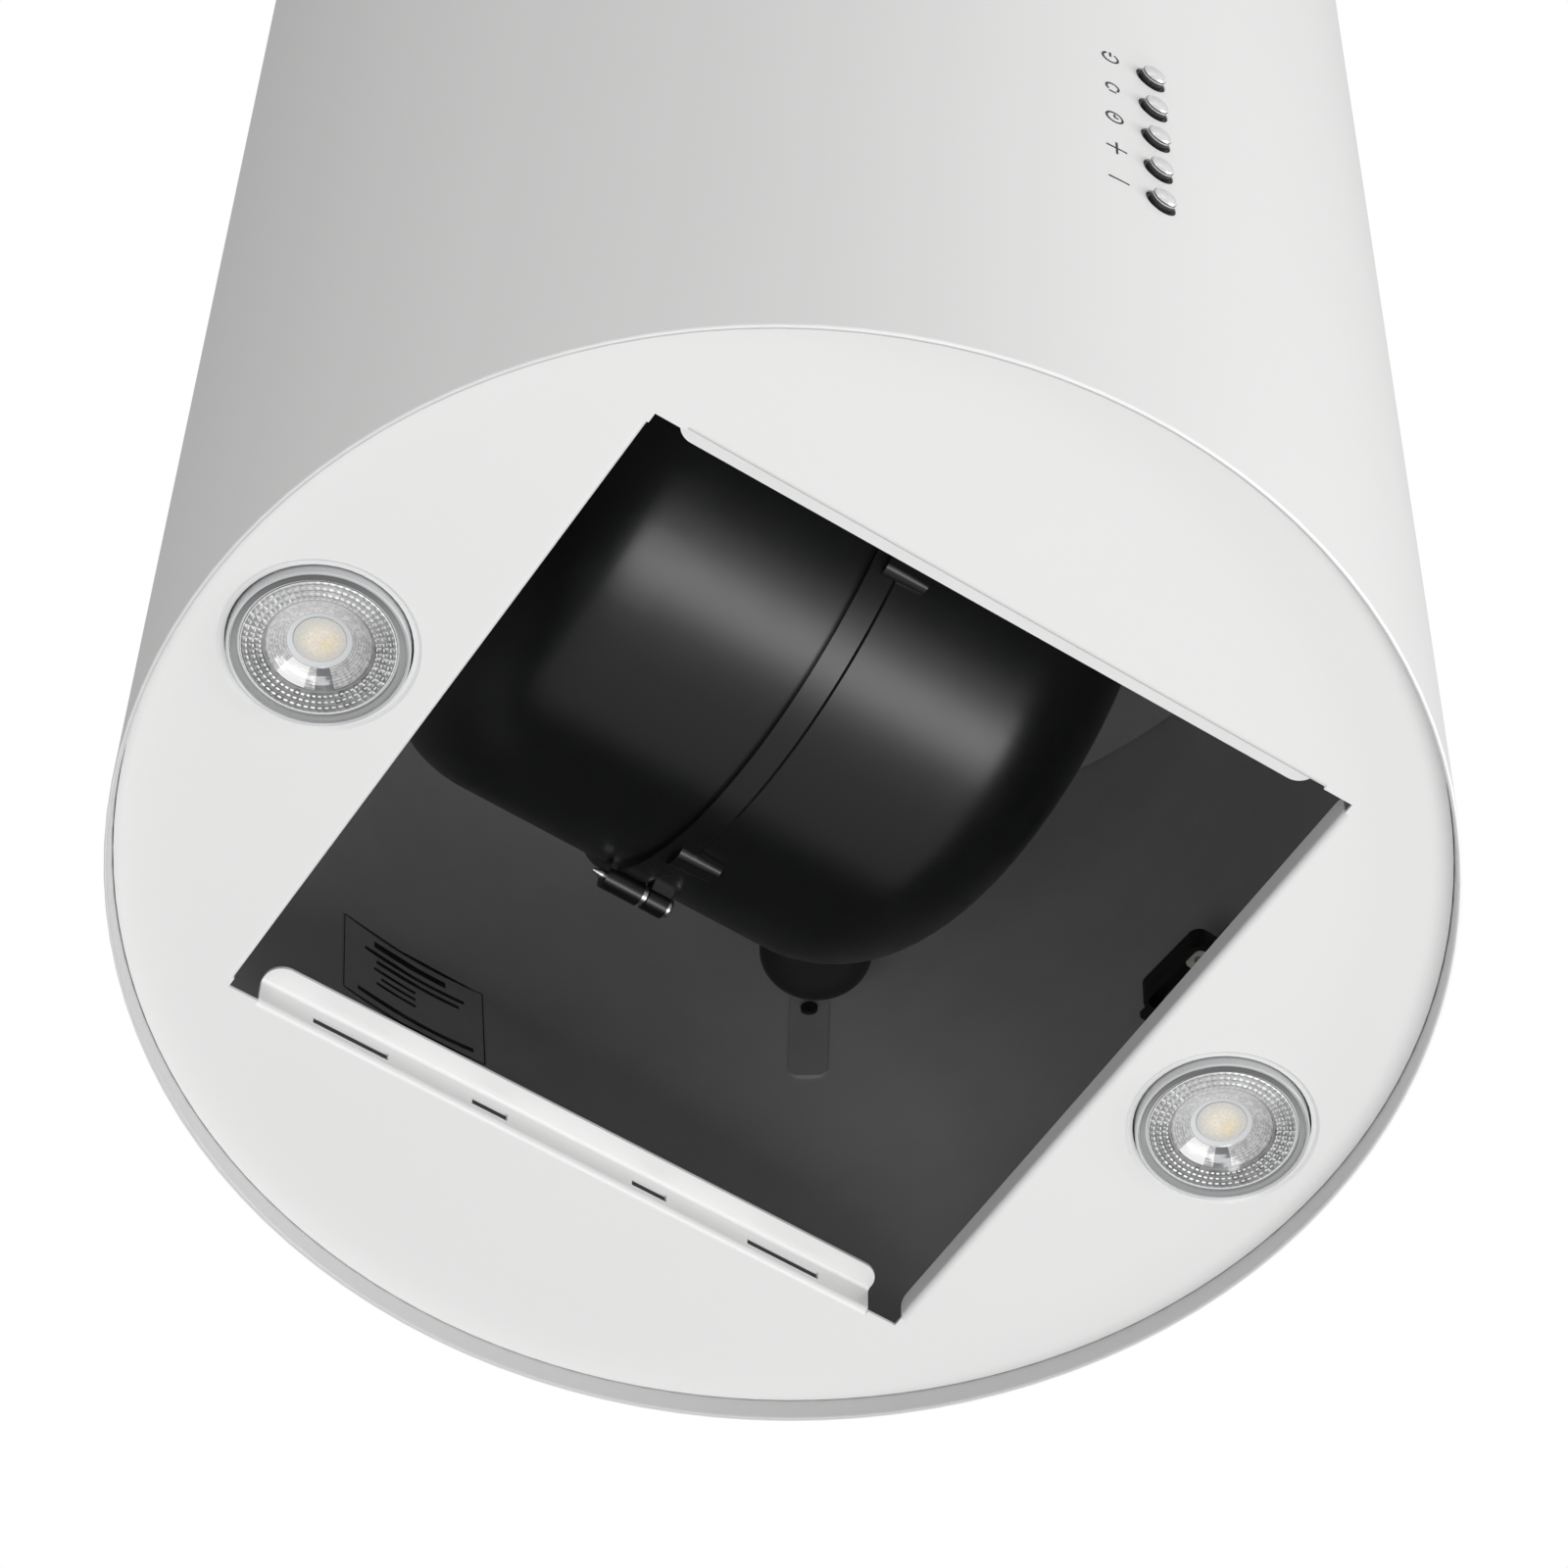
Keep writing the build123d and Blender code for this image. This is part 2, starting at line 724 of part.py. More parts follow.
with BuildPart() as drum:
    revolve(drum_profile(0), axis=blower_axis)
    extrude(neck_disc(neck_r, blower_z), amount=deck_z - blower_z)
    extrude(neck_disc(neck_flange_r, deck_z - neck_flange), amount=neck_flange)
    revolve(drum_profile(blower_wall), axis=blower_axis, mode=Mode.SUBTRACT)
    neck_bore = neck_disc(neck_r - blower_wall, blower_z)
    extrude(neck_bore, amount=deck_z - blower_z, mode=Mode.SUBTRACT)
    for x, inward in ((blower_left, 1), (blower_right, -1)):
        with BuildSketch(across_blower(x)):
            Circle(inlet_r + blower_wall)
        extrude(amount=inward * bell_depth)
    with BuildSketch(across_blower(blower_left - 1)):
        Circle(inlet_r)
    extrude(amount=blower_right - blower_left + 2, mode=Mode.SUBTRACT)
    with BuildSketch(Plane.XY.offset(deck_z)):
        with Locations(neck_centre):
            with PolarLocations(flange_bolt_r, len(flange_bolt_angles)):
                Circle(bolt_r + 0.2)
    extrude(amount=-neck_flange, mode=Mode.SUBTRACT)
    for x, inward in ((blower_left, 1), (blower_right, -1)):
        with BuildSketch(across_blower(x)):
            with Locations(*[polar(inlet_screw_r, angle) for angle in inlet_screw_angles]):
                Circle(seam_screw_r)
        extrude(amount=inward * bell_depth, mode=Mode.SUBTRACT)


def turned(x, angle):
    """Plane square to the blower's axis whose local x points outwards at an angle."""
    turn = math.radians(angle)
    return Plane(
        origin=(x, blower_y, blower_z),
        x_dir=(0, math.cos(turn), math.sin(turn)),
        z_dir=(1, 0, 0),
    )


def ear_foot(x, angle):
    """Outline of a screw ear: a round eye on a web that runs into the drum's wall."""
    web = ear_seat - blower_r + blower_wall / 2
    with BuildSketch(turned(x, angle)) as outline:
        with Locations((ear_seat - web / 2, 0)):
            Rectangle(web, 2 * ear_r - 2)
        with Locations((ear_seat, 0)):
            Circle(ear_r)
    return outline.sketch


def ear_disc(x, angle, radius):
    """Disc in the middle of a screw ear."""
    with BuildSketch(turned(x, angle)) as disc:
        with Locations((ear_seat, 0)):
            Circle(radius)
    return disc.sketch


with BuildPart() as housing_left:
    add(drum.part)
    split(bisect_by=Plane.YZ.offset(seam_x), keep=Keep.BOTTOM)
    for angle in ear_angles:
        ear_start = seam_x - ear_root
        extrude(ear_foot(ear_start, angle), amount=ear_root)
        extrude(ear_disc(seam_x, angle, ear_r), amount=left_ear_end - seam_x)
        ear_bore = ear_disc(ear_start, angle, seam_screw_r)
        extrude(ear_bore, amount=left_ear_end - ear_start, mode=Mode.SUBTRACT)

housing_left.part.label = "housing_left"
export_step(housing_left.part, "parts/housing_left.step")

with BuildPart() as seam_ring:
    with BuildSketch(across_blower(seam_x)):
        Circle(blower_r + seam_rise)
        Circle(blower_r - blower_wall / 2, mode=Mode.SUBTRACT)
    extrude(amount=seam_band)
    outer_edge = seam_ring.edges().group_by(Axis.X)[-1].sort_by(SortBy.LENGTH)[-1]
    chamfer(outer_edge, length=seam_rise * 0.6)

with BuildPart() as housing_right:
    add(drum.part)
    split(bisect_by=Plane.YZ.offset(seam_x), keep=Keep.TOP)
    add(seam_ring.part)
    for angle in ear_angles:
        ear_room = ear_disc(seam_x, angle, ear_r + ear_gap)
        extrude(ear_room, amount=left_ear_end - seam_x, mode=Mode.SUBTRACT)
    for angle in lug_angles:
        with BuildSketch(turned(lug_start, angle)):
            with Locations((lug_seat, 0)):
                SlotOverall(3 * lug_r, 2 * lug_r, rotation=90)
        extrude(amount=lug_end - lug_start, taper=4)
    for angle in ear_angles:
        extrude(ear_foot(right_ear_start, angle), amount=right_ear_end - right_ear_start)
        ear_bore = ear_disc(right_ear_start, angle, seam_screw_r)
        extrude(ear_bore, amount=right_ear_end - right_ear_start, mode=Mode.SUBTRACT)
    revolve(drum_profile(blower_wall), axis=blower_axis, mode=Mode.SUBTRACT)
    extrude(neck_disc(neck_r - blower_wall, blower_z), amount=deck_z - blower_z, mode=Mode.SUBTRACT)
    with BuildSketch(across_blower(blower_right)):
        Circle(inlet_r + blower_wall)
        Circle(inlet_r, mode=Mode.SUBTRACT)
    extrude(amount=-bell_depth)
    with BuildSketch(across_blower(blower_right)):
        with Locations(*[polar(inlet_screw_r, angle) for angle in inlet_screw_angles]):
            Circle(seam_screw_r)
    extrude(amount=-bell_depth, mode=Mode.SUBTRACT)

housing_right.part.label = "housing_right"
export_step(housing_right.part, "parts/housing_right.step")


def seam_screw(angle):
    """Screw along X through both ears: head on the right, washer in the gap, point left."""
    tip_length = 4.0
    head_length = 2.0
    shank_start = seam_x - ear_root - tip_length
    with BuildPart() as screw:
        with BuildSketch(turned(shank_start, angle)):
            with Locations((ear_seat, 0)):
                Circle(seam_screw_r - 0.02)
        extrude(amount=right_ear_end - shank_start)
        point_edge = screw.edges().filter_by(GeomType.CIRCLE).sort_by(Axis.X)[0]
        chamfer(point_edge, length=tip_length * 0.7, length2=seam_screw_r * 0.7)
        washer = ear_disc(left_ear_end + ear_gap, angle, ear_r * 0.8)
        extrude(washer, amount=right_ear_start - left_ear_end - 2 * ear_gap)
        extrude(ear_disc(right_ear_end, angle, ear_r * 0.85), amount=head_length)
        head_edge = screw.edges().filter_by(GeomType.CIRCLE).sort_by(Axis.X)[-1]
        fillet(head_edge, radius=head_length * 0.6)
    return screw.part


with BuildPart() as seam_screws:
    for angle in ear_angles:
        add(seam_screw(angle))

seam_screws.part.label = "seam_screws"
export_step(seam_screws.part, "parts/seam_screws.step")

# ------------------------------------------------------ inlet guard, motor, impeller
guard_sheet = 2.0
guard_wire = 2.4
guard_rings = (16.0, 29.0, 42.0)
arm_width = 9.0
motor_r = 36.0
motor_end = -20.0
motor_seat_r = 26.0
motor_slot_width = 4.0
motor_slot_depth = 5.0
motor_slot_count = 12
motor_hole_r = 8.0
motor_screw_r = 21.0
motor_screw_angles = (30, 150, 270)
motor_screw_length = 10.0
inlet_screw_length = 8.0
shaft_r = 4.0
shaft_start = motor_end - 42.0
shaft_end = 20.0
shaft_nut_size = 13.0
shaft_nut_height = 5.0
hub_start = -4.0
hub_end = 11.0
hub_r = 12.0
wheel_left = -62.0
wheel_right = 58.0
wheel_r = blower_r - 20.0
blade_inner_r = wheel_r - 15.0
blade_count = 32
blade_sheet = 1.4
wheel_rim = 2.5
wheel_disc_x = 2.0
rim_lip = 1.0
disc_hole_ring = 36.0
disc_hole_count = 6
disc_hole_r = 9.0
blade_lead = 1.0
blade_lean = 7.0


def inlet_plate(x, inner):
    """Flat ring over an inlet's rim, with its screw holes."""
    with BuildSketch(across_blower(x)) as plate:
        Circle(inlet_ring_r)
        Circle(inner, mode=Mode.SUBTRACT)
        with Locations(*[polar(inlet_screw_r, angle) for angle in inlet_screw_angles]):
            Circle(seam_screw_r + 0.1, mode=Mode.SUBTRACT)
    return plate.sketch


with BuildPart() as inlet_guard:
    extrude(inlet_plate(blower_right, inlet_r - 1.0), amount=guard_sheet)
    with BuildSketch(across_blower(blower_right)):
        for radius in sorted(guard_rings, reverse=True):
            Circle(radius + guard_wire / 2)
            Circle(radius - guard_wire / 2, mode=Mode.SUBTRACT)
        with PolarLocations((guard_rings[0] + inlet_r) / 2, 6):
            Rectangle(inlet_r - guard_rings[0], guard_wire)
    extrude(amount=guard_sheet)

inlet_guard.part.label = "inlet_guard"
export_step(inlet_guard.part, "parts/inlet_guard.step")

with BuildPart() as motor_bracket:
    extrude(inlet_plate(blower_left, inlet_r - 1.0), amount=-guard_sheet)
    with BuildSketch(across_blower(blower_left)):
        Circle(motor_seat_r)
        with PolarLocations((motor_seat_r + inlet_r) / 2, 3, start_angle=90):
            Rectangle(inlet_r - motor_seat_r + 6.0, arm_width)
        with PolarLocations(motor_screw_r, 3, start_angle=30):
            Circle(screw_r + 0.1, mode=Mode.SUBTRACT)
        Circle(motor_hole_r, mode=Mode.SUBTRACT)
    extrude(amount=-guard_sheet)

motor_bracket.part.label = "motor_bracket"
export_step(motor_bracket.part, "parts/motor_bracket.step")

with BuildPart() as motor:
    motor_start = blower_left
    with BuildSketch(across_blower(motor_start)):
        Circle(motor_r)
    extrude(amount=motor_end - motor_start)
    fillet(motor.edges().filter_by(GeomType.CIRCLE), radius=5.0)
    with BuildSketch(across_blower((motor_start + motor_end) / 2)):
        with PolarLocations(motor_r, motor_slot_count):
            Rectangle(motor_slot_width, motor_slot_depth)
    extrude(amount=(motor_end - motor_start) * 0.3, both=True, mode=Mode.SUBTRACT)
    with BuildSketch(across_blower(motor_end)):
        Circle(shaft_r + slide_gap)
    extrude(amount=shaft_start - motor_end - 1.0, mode=Mode.SUBTRACT)
    with BuildSketch(across_blower(motor_start)):
        with PolarLocations(motor_screw_r, 3, start_angle=30):
            Circle(screw_r)
    extrude(amount=motor_screw_length - 1.0, mode=Mode.SUBTRACT)

motor.part.label = "motor"
export_step(motor.part, "parts/motor.step")


def side_screw(x, spot, length, radius, outward):
    """Pan-head screw along X with its head's underside at x, the head facing outward."""
    head = across_blower(x)
    with BuildPart() as screw:
        with BuildSketch(head):
            with Locations(spot):
                Circle(radius * 1.9)
        extrude(amount=outward * radius * 1.2)
        rims = screw.edges().filter_by(GeomType.CIRCLE).sort_by(Axis.X)
        fillet(rims[-1] if outward > 0 else rims[0], radius=radius * 0.8)
        with BuildSketch(head):
            with Locations(spot):
                Circle(radius - 0.02)
        extrude(amount=-outward * length)
    return screw.part


with BuildPart() as motor_screws:
    for angle in motor_screw_angles:
        spot = polar(motor_screw_r, angle)
        add(side_screw(blower_left - guard_sheet, spot, motor_screw_length, screw_r, -1))

motor_screws.part.label = "motor_screws"
export_step(motor_screws.part, "parts/motor_screws.step")

with BuildPart() as inlet_screws:
    for angle in inlet_screw_angles:
        spot = polar(inlet_screw_r, angle)
        add(side_screw(blower_right + guard_sheet, spot, inlet_screw_length, seam_screw_r, 1))
        add(side_screw(blower_left - guard_sheet, spot, inlet_screw_length, seam_screw_r, -1))

inlet_screws.part.label = "inlet_screws"
export_step(inlet_screws.part, "parts/inlet_screws.step")

with BuildPart() as motor_shaft:
    with BuildSketch(across_blower(shaft_start)):
        Circle(shaft_r)
    extrude(amount=shaft_end - shaft_start)
    chamfer(motor_shaft.edges().filter_by(GeomType.CIRCLE), length=0.5)

motor_shaft.part.label = "motor_shaft"
export_step(motor_shaft.part, "parts/motor_shaft.step")

with BuildPart() as impeller_nut:
    with BuildSketch(across_blower(hub_end)):
        RegularPolygon(shaft_nut_size / 2, 6, major_radius=False)
        Circle(shaft_r, mode=Mode.SUBTRACT)
    extrude(amount=shaft_nut_height)

impeller_nut.part.label = "impeller_nut"
export_step(impeller_nut.part, "parts/impeller_nut.step")

with BuildSketch() as blade:
    with BuildLine():
        ThreePointArc(
            polar(blade_inner_r, 0),
            polar((blade_inner_r + wheel_r) / 2, blade_lead),
            polar(wheel_r - 1.0, blade_lean),
        )
    trace(line_width=blade_sheet)

with BuildPart() as impeller:
    for x in (wheel_left, wheel_right - wheel_rim):
        with BuildSketch(across_blower(x)):
            Circle(wheel_r + rim_lip)
            Circle(blade_inner_r - rim_lip, mode=Mode.SUBTRACT)
        extrude(amount=wheel_rim)
    with BuildSketch(across_blower(wheel_disc_x)):
        Circle(wheel_r)
        with PolarLocations(disc_hole_ring, disc_hole_count):
            Circle(disc_hole_r, mode=Mode.SUBTRACT)
    extrude(amount=wheel_rim)
    with BuildSketch(across_blower(hub_start)):
        Circle(hub_r)
    extrude(amount=hub_end - hub_start)
    with BuildSketch(across_blower(hub_start)):
        Circle(shaft_r)
    extrude(amount=hub_end - hub_start, mode=Mode.SUBTRACT)

impeller.part.label = "impeller"
export_step(impeller.part, "parts/impeller.step")

with BuildPart() as impeller_blades:
    left_start, left_end = wheel_left + wheel_rim, wheel_disc_x
    right_start, right_end = wheel_disc_x + wheel_rim, wheel_right - wheel_rim
    for start, end in ((left_start, left_end), (right_start, right_end)):
        with BuildSketch(across_blower(start)):
            with PolarLocations(0, blade_count):
                add(blade.sketch)
        extrude(amount=end - start)

impeller_blades.part.label = "impeller_blades"
export_step(impeller_blades.part, "parts/impeller_blades.step")

# ------------------------------------------------------------------- run capacitor
can_r = 18.5
can_point = (90.5, 125.0)
can_bottom = rim_z + 180.0
can_height = 50.0
terminal_width = 6.3
terminal_sheet = 0.8
terminal_length = 8.0
terminal_spacing = 10.0
clamp_sheet = 1.2
clamp_height = 12.0
clamp_foot = 16.0
clamp_z = rim_z + 206.0

with BuildPart() as capacitor:
    with BuildSketch(Plane.XY.offset(can_bottom)):
        with Locations(can_point):
            Circle(can_r)
    extrude(amount=can_height)
    fillet(capacitor.edges().group_by(Axis.Z)[0], radius=can_r * 0.5)
    fillet(capacitor.edges().group_by(Axis.Z)[-1], radius=1.5)
    with BuildSketch(Plane.XY.offset(can_bottom + can_height)):
        with Locations(can_point):
            with GridLocations(terminal_spacing, 0, 2, 1):
                Rectangle(terminal_sheet, terminal_width)
    extrude(amount=terminal_length)

capacitor.part.label = "capacitor"
export_step(capacitor.part, "parts/capacitor.step")

with BuildPart() as capacitor_clamp:
    strip_x = can_point[0] - can_r - clamp_sheet / 2
    with BuildSketch(Plane.XY.offset(clamp_z)):
        with Locations(can_point):
            Circle(can_r + clamp_sheet)
            Circle(can_r, mode=Mode.SUBTRACT)
    extrude(amount=clamp_height)
    with BuildSketch(Plane.XY.offset(clamp_z)):
        with Locations((strip_x, can_point[1])):
            Rectangle(clamp_sheet, clamp_height)
    extrude(amount=deck_z - clamp_z)
    with BuildSketch(Plane.XY.offset(deck_z)):
        with Locations((strip_x + clamp_sheet / 2 - clamp_foot / 2, can_point[1])):
            Rectangle(clamp_foot, clamp_height)
    extrude(amount=-clamp_sheet)

capacitor_clamp.part.label = "capacitor_clamp"
export_step(capacitor_clamp.part, "parts/capacitor_clamp.step")

# ------------------------------------------------------- deck, collar, damper flaps
deck_gap = 0.8
deck_r = inner_r - deck_gap
deck_bracket_angles = (60, 120, 240, 300)
deck_bracket_foot = 18.0
deck_bracket_leg = 18.0
deck_screw_length = 8.0
frame_bolt_length = 12.0
deck_screw_r = inner_r - part_gap - 11.0
deck_screw_points = [around(deck_screw_r, angle) for angle in deck_bracket_angles]
rail_centre = rail_offset - rail_size / 2 - rail_sheet
rail_foot_points = [(sx * rail_centre, sy * rail_centre) for sx in (1, -1) for sy in (1, -1)]
gland_point = (-135.0, 40.0)
gland_hole_r = 8.0

with BuildPart() as deck:
    with BuildSketch(Plane.XY.offset(deck_z)):
        Circle(deck_r)
        with Locations(neck_centre):
            Circle(neck_r - blower_wall, mode=Mode.SUBTRACT)
            with PolarLocations(flange_bolt_r, len(flange_bolt_angles)):
                Circle(bolt_r + 0.2, mode=Mode.SUBTRACT)
        with Locations(*deck_screw_points):
            Circle(screw_r + 0.1, mode=Mode.SUBTRACT)
        with Locations(*rail_foot_points):
            Circle(bolt_r + 0.2, mode=Mode.SUBTRACT)
        with Locations(gland_point):
            Circle(gland_hole_r, mode=Mode.SUBTRACT)
    extrude(amount=deck_sheet)

deck.part.label = "deck"
export_step(deck.part, "parts/deck.step")

with BuildPart() as deck_brackets:
    for angle in deck_bracket_angles:
        add(wall_bracket(angle, deck_z, deck_bracket_foot, -deck_bracket_leg))
    with BuildSketch(Plane.XY.offset(deck_z)):
        with Locations(*deck_screw_points):
            Circle(screw_r)
    extrude(amount=-bracket_sheet, mode=Mode.SUBTRACT)

deck_brackets.part.label = "deck_brackets"
export_step(deck_brackets.part, "parts/deck_brackets.step")

with BuildPart() as deck_screws:
    for point in deck_screw_points:
        add(pan_screw(point, deck_top, deck_screw_length, screw_r))

deck_screws.part.label = "deck_screws"
export_step(deck_screws.part, "parts/deck_screws.step")

collar_flange_r = neck_flange_r
collar_flange = 1.5
flap_z = deck_top + flap_height
flap_pin_gap = 0.05
flap_r = duct_r - collar_wall - 1.0
knuckle_r = flap_pin_r + 1.4
knuckle_length = 24.0
knuckle_reach = 58.0
knuckle_starts = (-knuckle_reach, -knuckle_length / 2, knuckle_reach - knuckle_length)
knuckle_gap = (2 * knuckle_reach - 3 * knuckle_length) / 2
hinge_cuts = (
    (-flap_r, flap_r - knuckle_reach),
    (-knuckle_reach + knuckle_length, knuckle_gap),
    (knuckle_length / 2, knuckle_gap),
    (knuckle_reach, flap_r - knuckle_reach),
)

with BuildPart() as duct_collar:
    with BuildSketch(Plane.XY.offset(deck_top)):
        with Locations(neck_centre):
            Circle(collar_flange_r)
            Circle(duct_r - collar_wall, mode=Mode.SUBTRACT)
            with PolarLocations(flange_bolt_r, len(flange_bolt_angles)):
                Circle(bolt_r + 0.2, mode=Mode.SUBTRACT)
    extrude(amount=collar_flange)
    with BuildSketch(Plane.XY.offset(deck_top)):
        with Locations(neck_centre):
            Circle(duct_r)
            Circle(duct_r - collar_wall, mode=Mode.SUBTRACT)
    extrude(amount=collar_height)
    with BuildSketch(Plane(origin=(-duct_r, blower_y, flap_z), x_dir=(0, 1, 0), z_dir=(1, 0, 0))):
        with Locations((flap_pin_y, 0), (-flap_pin_y, 0)):
            Circle(flap_pin_r)
    extrude(amount=2 * duct_r, mode=Mode.SUBTRACT)

duct_collar.part.label = "duct_collar"
export_step(duct_collar.part, "parts/duct_collar.step")

with BuildPart() as flap_pins:
    with BuildSketch(Plane(origin=(-duct_r, blower_y, flap_z), x_dir=(0, 1, 0), z_dir=(1, 0, 0))):
        with Locations((flap_pin_y, 0), (-flap_pin_y, 0)):
            Circle(flap_pin_r)
    extrude(amount=2 * duct_r - 0.1)

flap_pins.part.label = "flap_pins"
export_step(flap_pins.part, "parts/flap_pins.step")


def make_flap(side):
    """Half-round damper flap with knuckles that turn on its pin."""
    hinge_y = side * flap_pin_y
    with BuildPart() as flap:
        with BuildSketch(Plane.XY.offset(flap_z - flap_sheet / 2)):
            with Locations(neck_centre):
                Circle(flap_r)
            with Locations((0, blower_y + hinge_y - side * flap_r)):
                Rectangle(2 * flap_r, 2 * flap_r, mode=Mode.SUBTRACT)
        extrude(amount=flap_sheet)
        hinge_plane = Plane(
            origin=(0, blower_y + hinge_y, flap_z), x_dir=(0, 1, 0), z_dir=(1, 0, 0)
        )
        for start in knuckle_starts:
            with BuildSketch(hinge_plane.offset(start)):
                Circle(knuckle_r)
            extrude(amount=knuckle_length)
        for start, length in hinge_cuts:
            with BuildSketch(hinge_plane.offset(start)):
                Rectangle(2 * knuckle_r, 2 * knuckle_r)
            extrude(amount=length, mode=Mode.SUBTRACT)
        with BuildSketch(hinge_plane.offset(-flap_r)):
            Circle(flap_pin_r + flap_pin_gap)
        extrude(amount=2 * flap_r, mode=Mode.SUBTRACT)
    return flap


for name, side in (("flap_back", 1), ("flap_front", -1)):
    flap = make_flap(side)
    flap.part.label = name
    export_step(flap.part, f"parts/{name}.step")

flange_bolt_points = [
    (flange_bolt_r * math.cos(math.radians(angle)),
     blower_y + flange_bolt_r * math.sin(math.radians(angle)))
    for angle in flange_bolt_angles
]

with BuildPart() as collar_bolts:
    for point in flange_bolt_points:
        add(pan_screw(point, deck_top + collar_flange, frame_bolt_length, bolt_r))

collar_bolts.part.label = "collar_bolts"
export_step(collar_bolts.part, "parts/collar_bolts.step")


def hex_nuts(points, z, size, height, bore):
    """Nuts that hang below a plane at z."""
    with BuildPart() as nuts:
        with BuildSketch(Plane.XY.offset(z)):
            with Locations(*points):
                RegularPolygon(size / 2, 6, major_radius=False)
                Circle(bore, mode=Mode.SUBTRACT)
        extrude(amount=-height)
    return nuts.part


bolt_nut_size = 8.0
bolt_nut_height = 4.0

with BuildPart() as collar_nuts:
    nut_z = deck_z - neck_flange
    add(hex_nuts(flange_bolt_points, nut_z, bolt_nut_size, bolt_nut_height, bolt_r))

collar_nuts.part.label = "collar_nuts"
export_step(collar_nuts.part, "parts/collar_nuts.step")

# ----------------------------------------------------------------- frame, ceiling plate
lower_rail_offset = rail_offset - rail_sheet - rail_gap
foot_length = rail_size
slot_pitch = 30.0
slot_count = 8
first_slot = 20.0
slot_length = 14.0
plate_corner = 14.0
upper_rail_length = -(deck_top + lower_rail_height) + rail_overlap
slot_heights = [-upper_rail_length + first_slot + slot_pitch * i for i in range(slot_count)]
rail_bolt_heights = [slot_heights[1], slot_heights[3]]


def angle_rail(sx, sy, offset, z, length):
    """Angle section standing at a corner, its two legs on the outer sides."""
    with BuildSketch(Plane.XY.offset(z)) as section:
        with Locations((sx * (offset - rail_size / 2), sy * (offset - rail_sheet / 2))):
            Rectangle(rail_size, rail_sheet)
        with Locations((sx * (offset - rail_sheet / 2), sy * (offset - rail_size / 2))):
            Rectangle(rail_sheet, rail_size)
    return extrude(section.sketch, amount=length, mode=Mode.PRIVATE)


corners = [(sx, sy) for sx in (1, -1) for sy in (1, -1)]

with BuildPart() as lower_frame:
    for sx, sy in corners:
        add(angle_rail(sx, sy, lower_rail_offset, deck_top, lower_rail_height))
        with BuildSketch(Plane.XY.offset(deck_top)):
            centre = lower_rail_offset - foot_length / 2
            with Locations((sx * centre, sy * centre)):
                Rectangle(foot_length, foot_length)
        extrude(amount=rail_sheet)
    with BuildSketch(Plane.XY.offset(deck_top + lower_rail_height - rail_size)):
        Rectangle(2 * lower_rail_offset - 2 * rail_sheet, 2 * lower_rail_offset - 2 * rail_sheet)
        tie_inner = 2 * (lower_rail_offset - rail_sheet - rail_sheet)
        Rectangle(tie_inner, tie_inner, mode=Mode.SUBTRACT)
    extrude(amount=rail_size)
    with BuildSketch(Plane.XY.offset(deck_top)):
        with Locations(*rail_foot_points):
            Circle(bolt_r + 0.2)
    extrude(amount=rail_sheet, mode=Mode.SUBTRACT)
    for sx in (1, -1):
        with BuildSketch(Plane.YZ.offset(sx * (rail_offset + 1))):
            with Locations(*[(sy * rail_centre, z) for sy in (1, -1) for z in rail_bolt_heights]):
                Circle(bolt_r + 0.1)
        extrude(amount=-sx * (3 * rail_sheet + 2), mode=Mode.SUBTRACT)

lower_frame.part.label = "lower_frame"
export_step(lower_frame.part, "parts/lower_frame.step")

with BuildPart() as upper_frame:
    with BuildSketch(Plane.XY.offset(-plate_sheet)):
        RectangleRounded(plate_side, plate_side, plate_corner)
        with Locations(neck_centre):
            Circle(ceiling_duct_r, mode=Mode.SUBTRACT)
        with GridLocations(ceiling_spacing, ceiling_spacing, 2, 2):
            Circle(ceiling_hole_r, mode=Mode.SUBTRACT)
    extrude(amount=plate_sheet)
    for sx, sy in corners:
        add(angle_rail(sx, sy, rail_offset, -upper_rail_length, upper_rail_length - plate_sheet))
    for sx in (1, -1):
        with BuildSketch(Plane.YZ.offset(sx * (rail_offset + 1))):
            for z in slot_heights:
                with Locations((rail_centre, z), (-rail_centre, z)):
                    SlotOverall(slot_length, 2 * bolt_r + 0.4, rotation=90)
        extrude(amount=-sx * (rail_sheet + 1.05), mode=Mode.SUBTRACT)

upper_frame.part.label = "upper_frame"
export_step(upper_frame.part, "parts/upper_frame.step")

with BuildPart() as foot_bolts:
    for point in rail_foot_points:
        add(pan_screw(point, deck_top + rail_sheet, frame_bolt_length, bolt_r))
    add(hex_nuts(rail_foot_points, deck_z, bolt_nut_size, bolt_nut_height, bolt_r))

foot_bolts.part.label = "foot_bolts"
export_step(foot_bolts.part, "parts/foot_bolts.step")


def rail_bolt(sx, y, z):
    """Bolt along X through both rails with its head outside and its nut inside."""
    outside = Plane(origin=(sx * rail_offset, y, z), x_dir=(0, 1, 0), z_dir=(sx, 0, 0))
    inside = outside.offset(-2 * rail_sheet - rail_gap - rail_sheet)
    with BuildPart() as bolt:
        with BuildSketch(outside):
            Circle(bolt_r * 1.9)
        extrude(amount=bolt_r * 1.2)
        with BuildSketch(outside):
            Circle(bolt_r - 0.02)
        extrude(amount=-frame_bolt_length)
        with BuildSketch(inside):
            RegularPolygon(bolt_nut_size / 2, 6, major_radius=False)
        extrude(amount=-bolt_nut_height)
    return bolt.part


with BuildPart() as rail_bolts:
    for sx, sy in corners:
        for z in rail_bolt_heights:
            add(rail_bolt(sx, sy * rail_centre, z))

rail_bolts.part.label = "rail_bolts"
export_step(rail_bolts.part, "parts/rail_bolts.step")

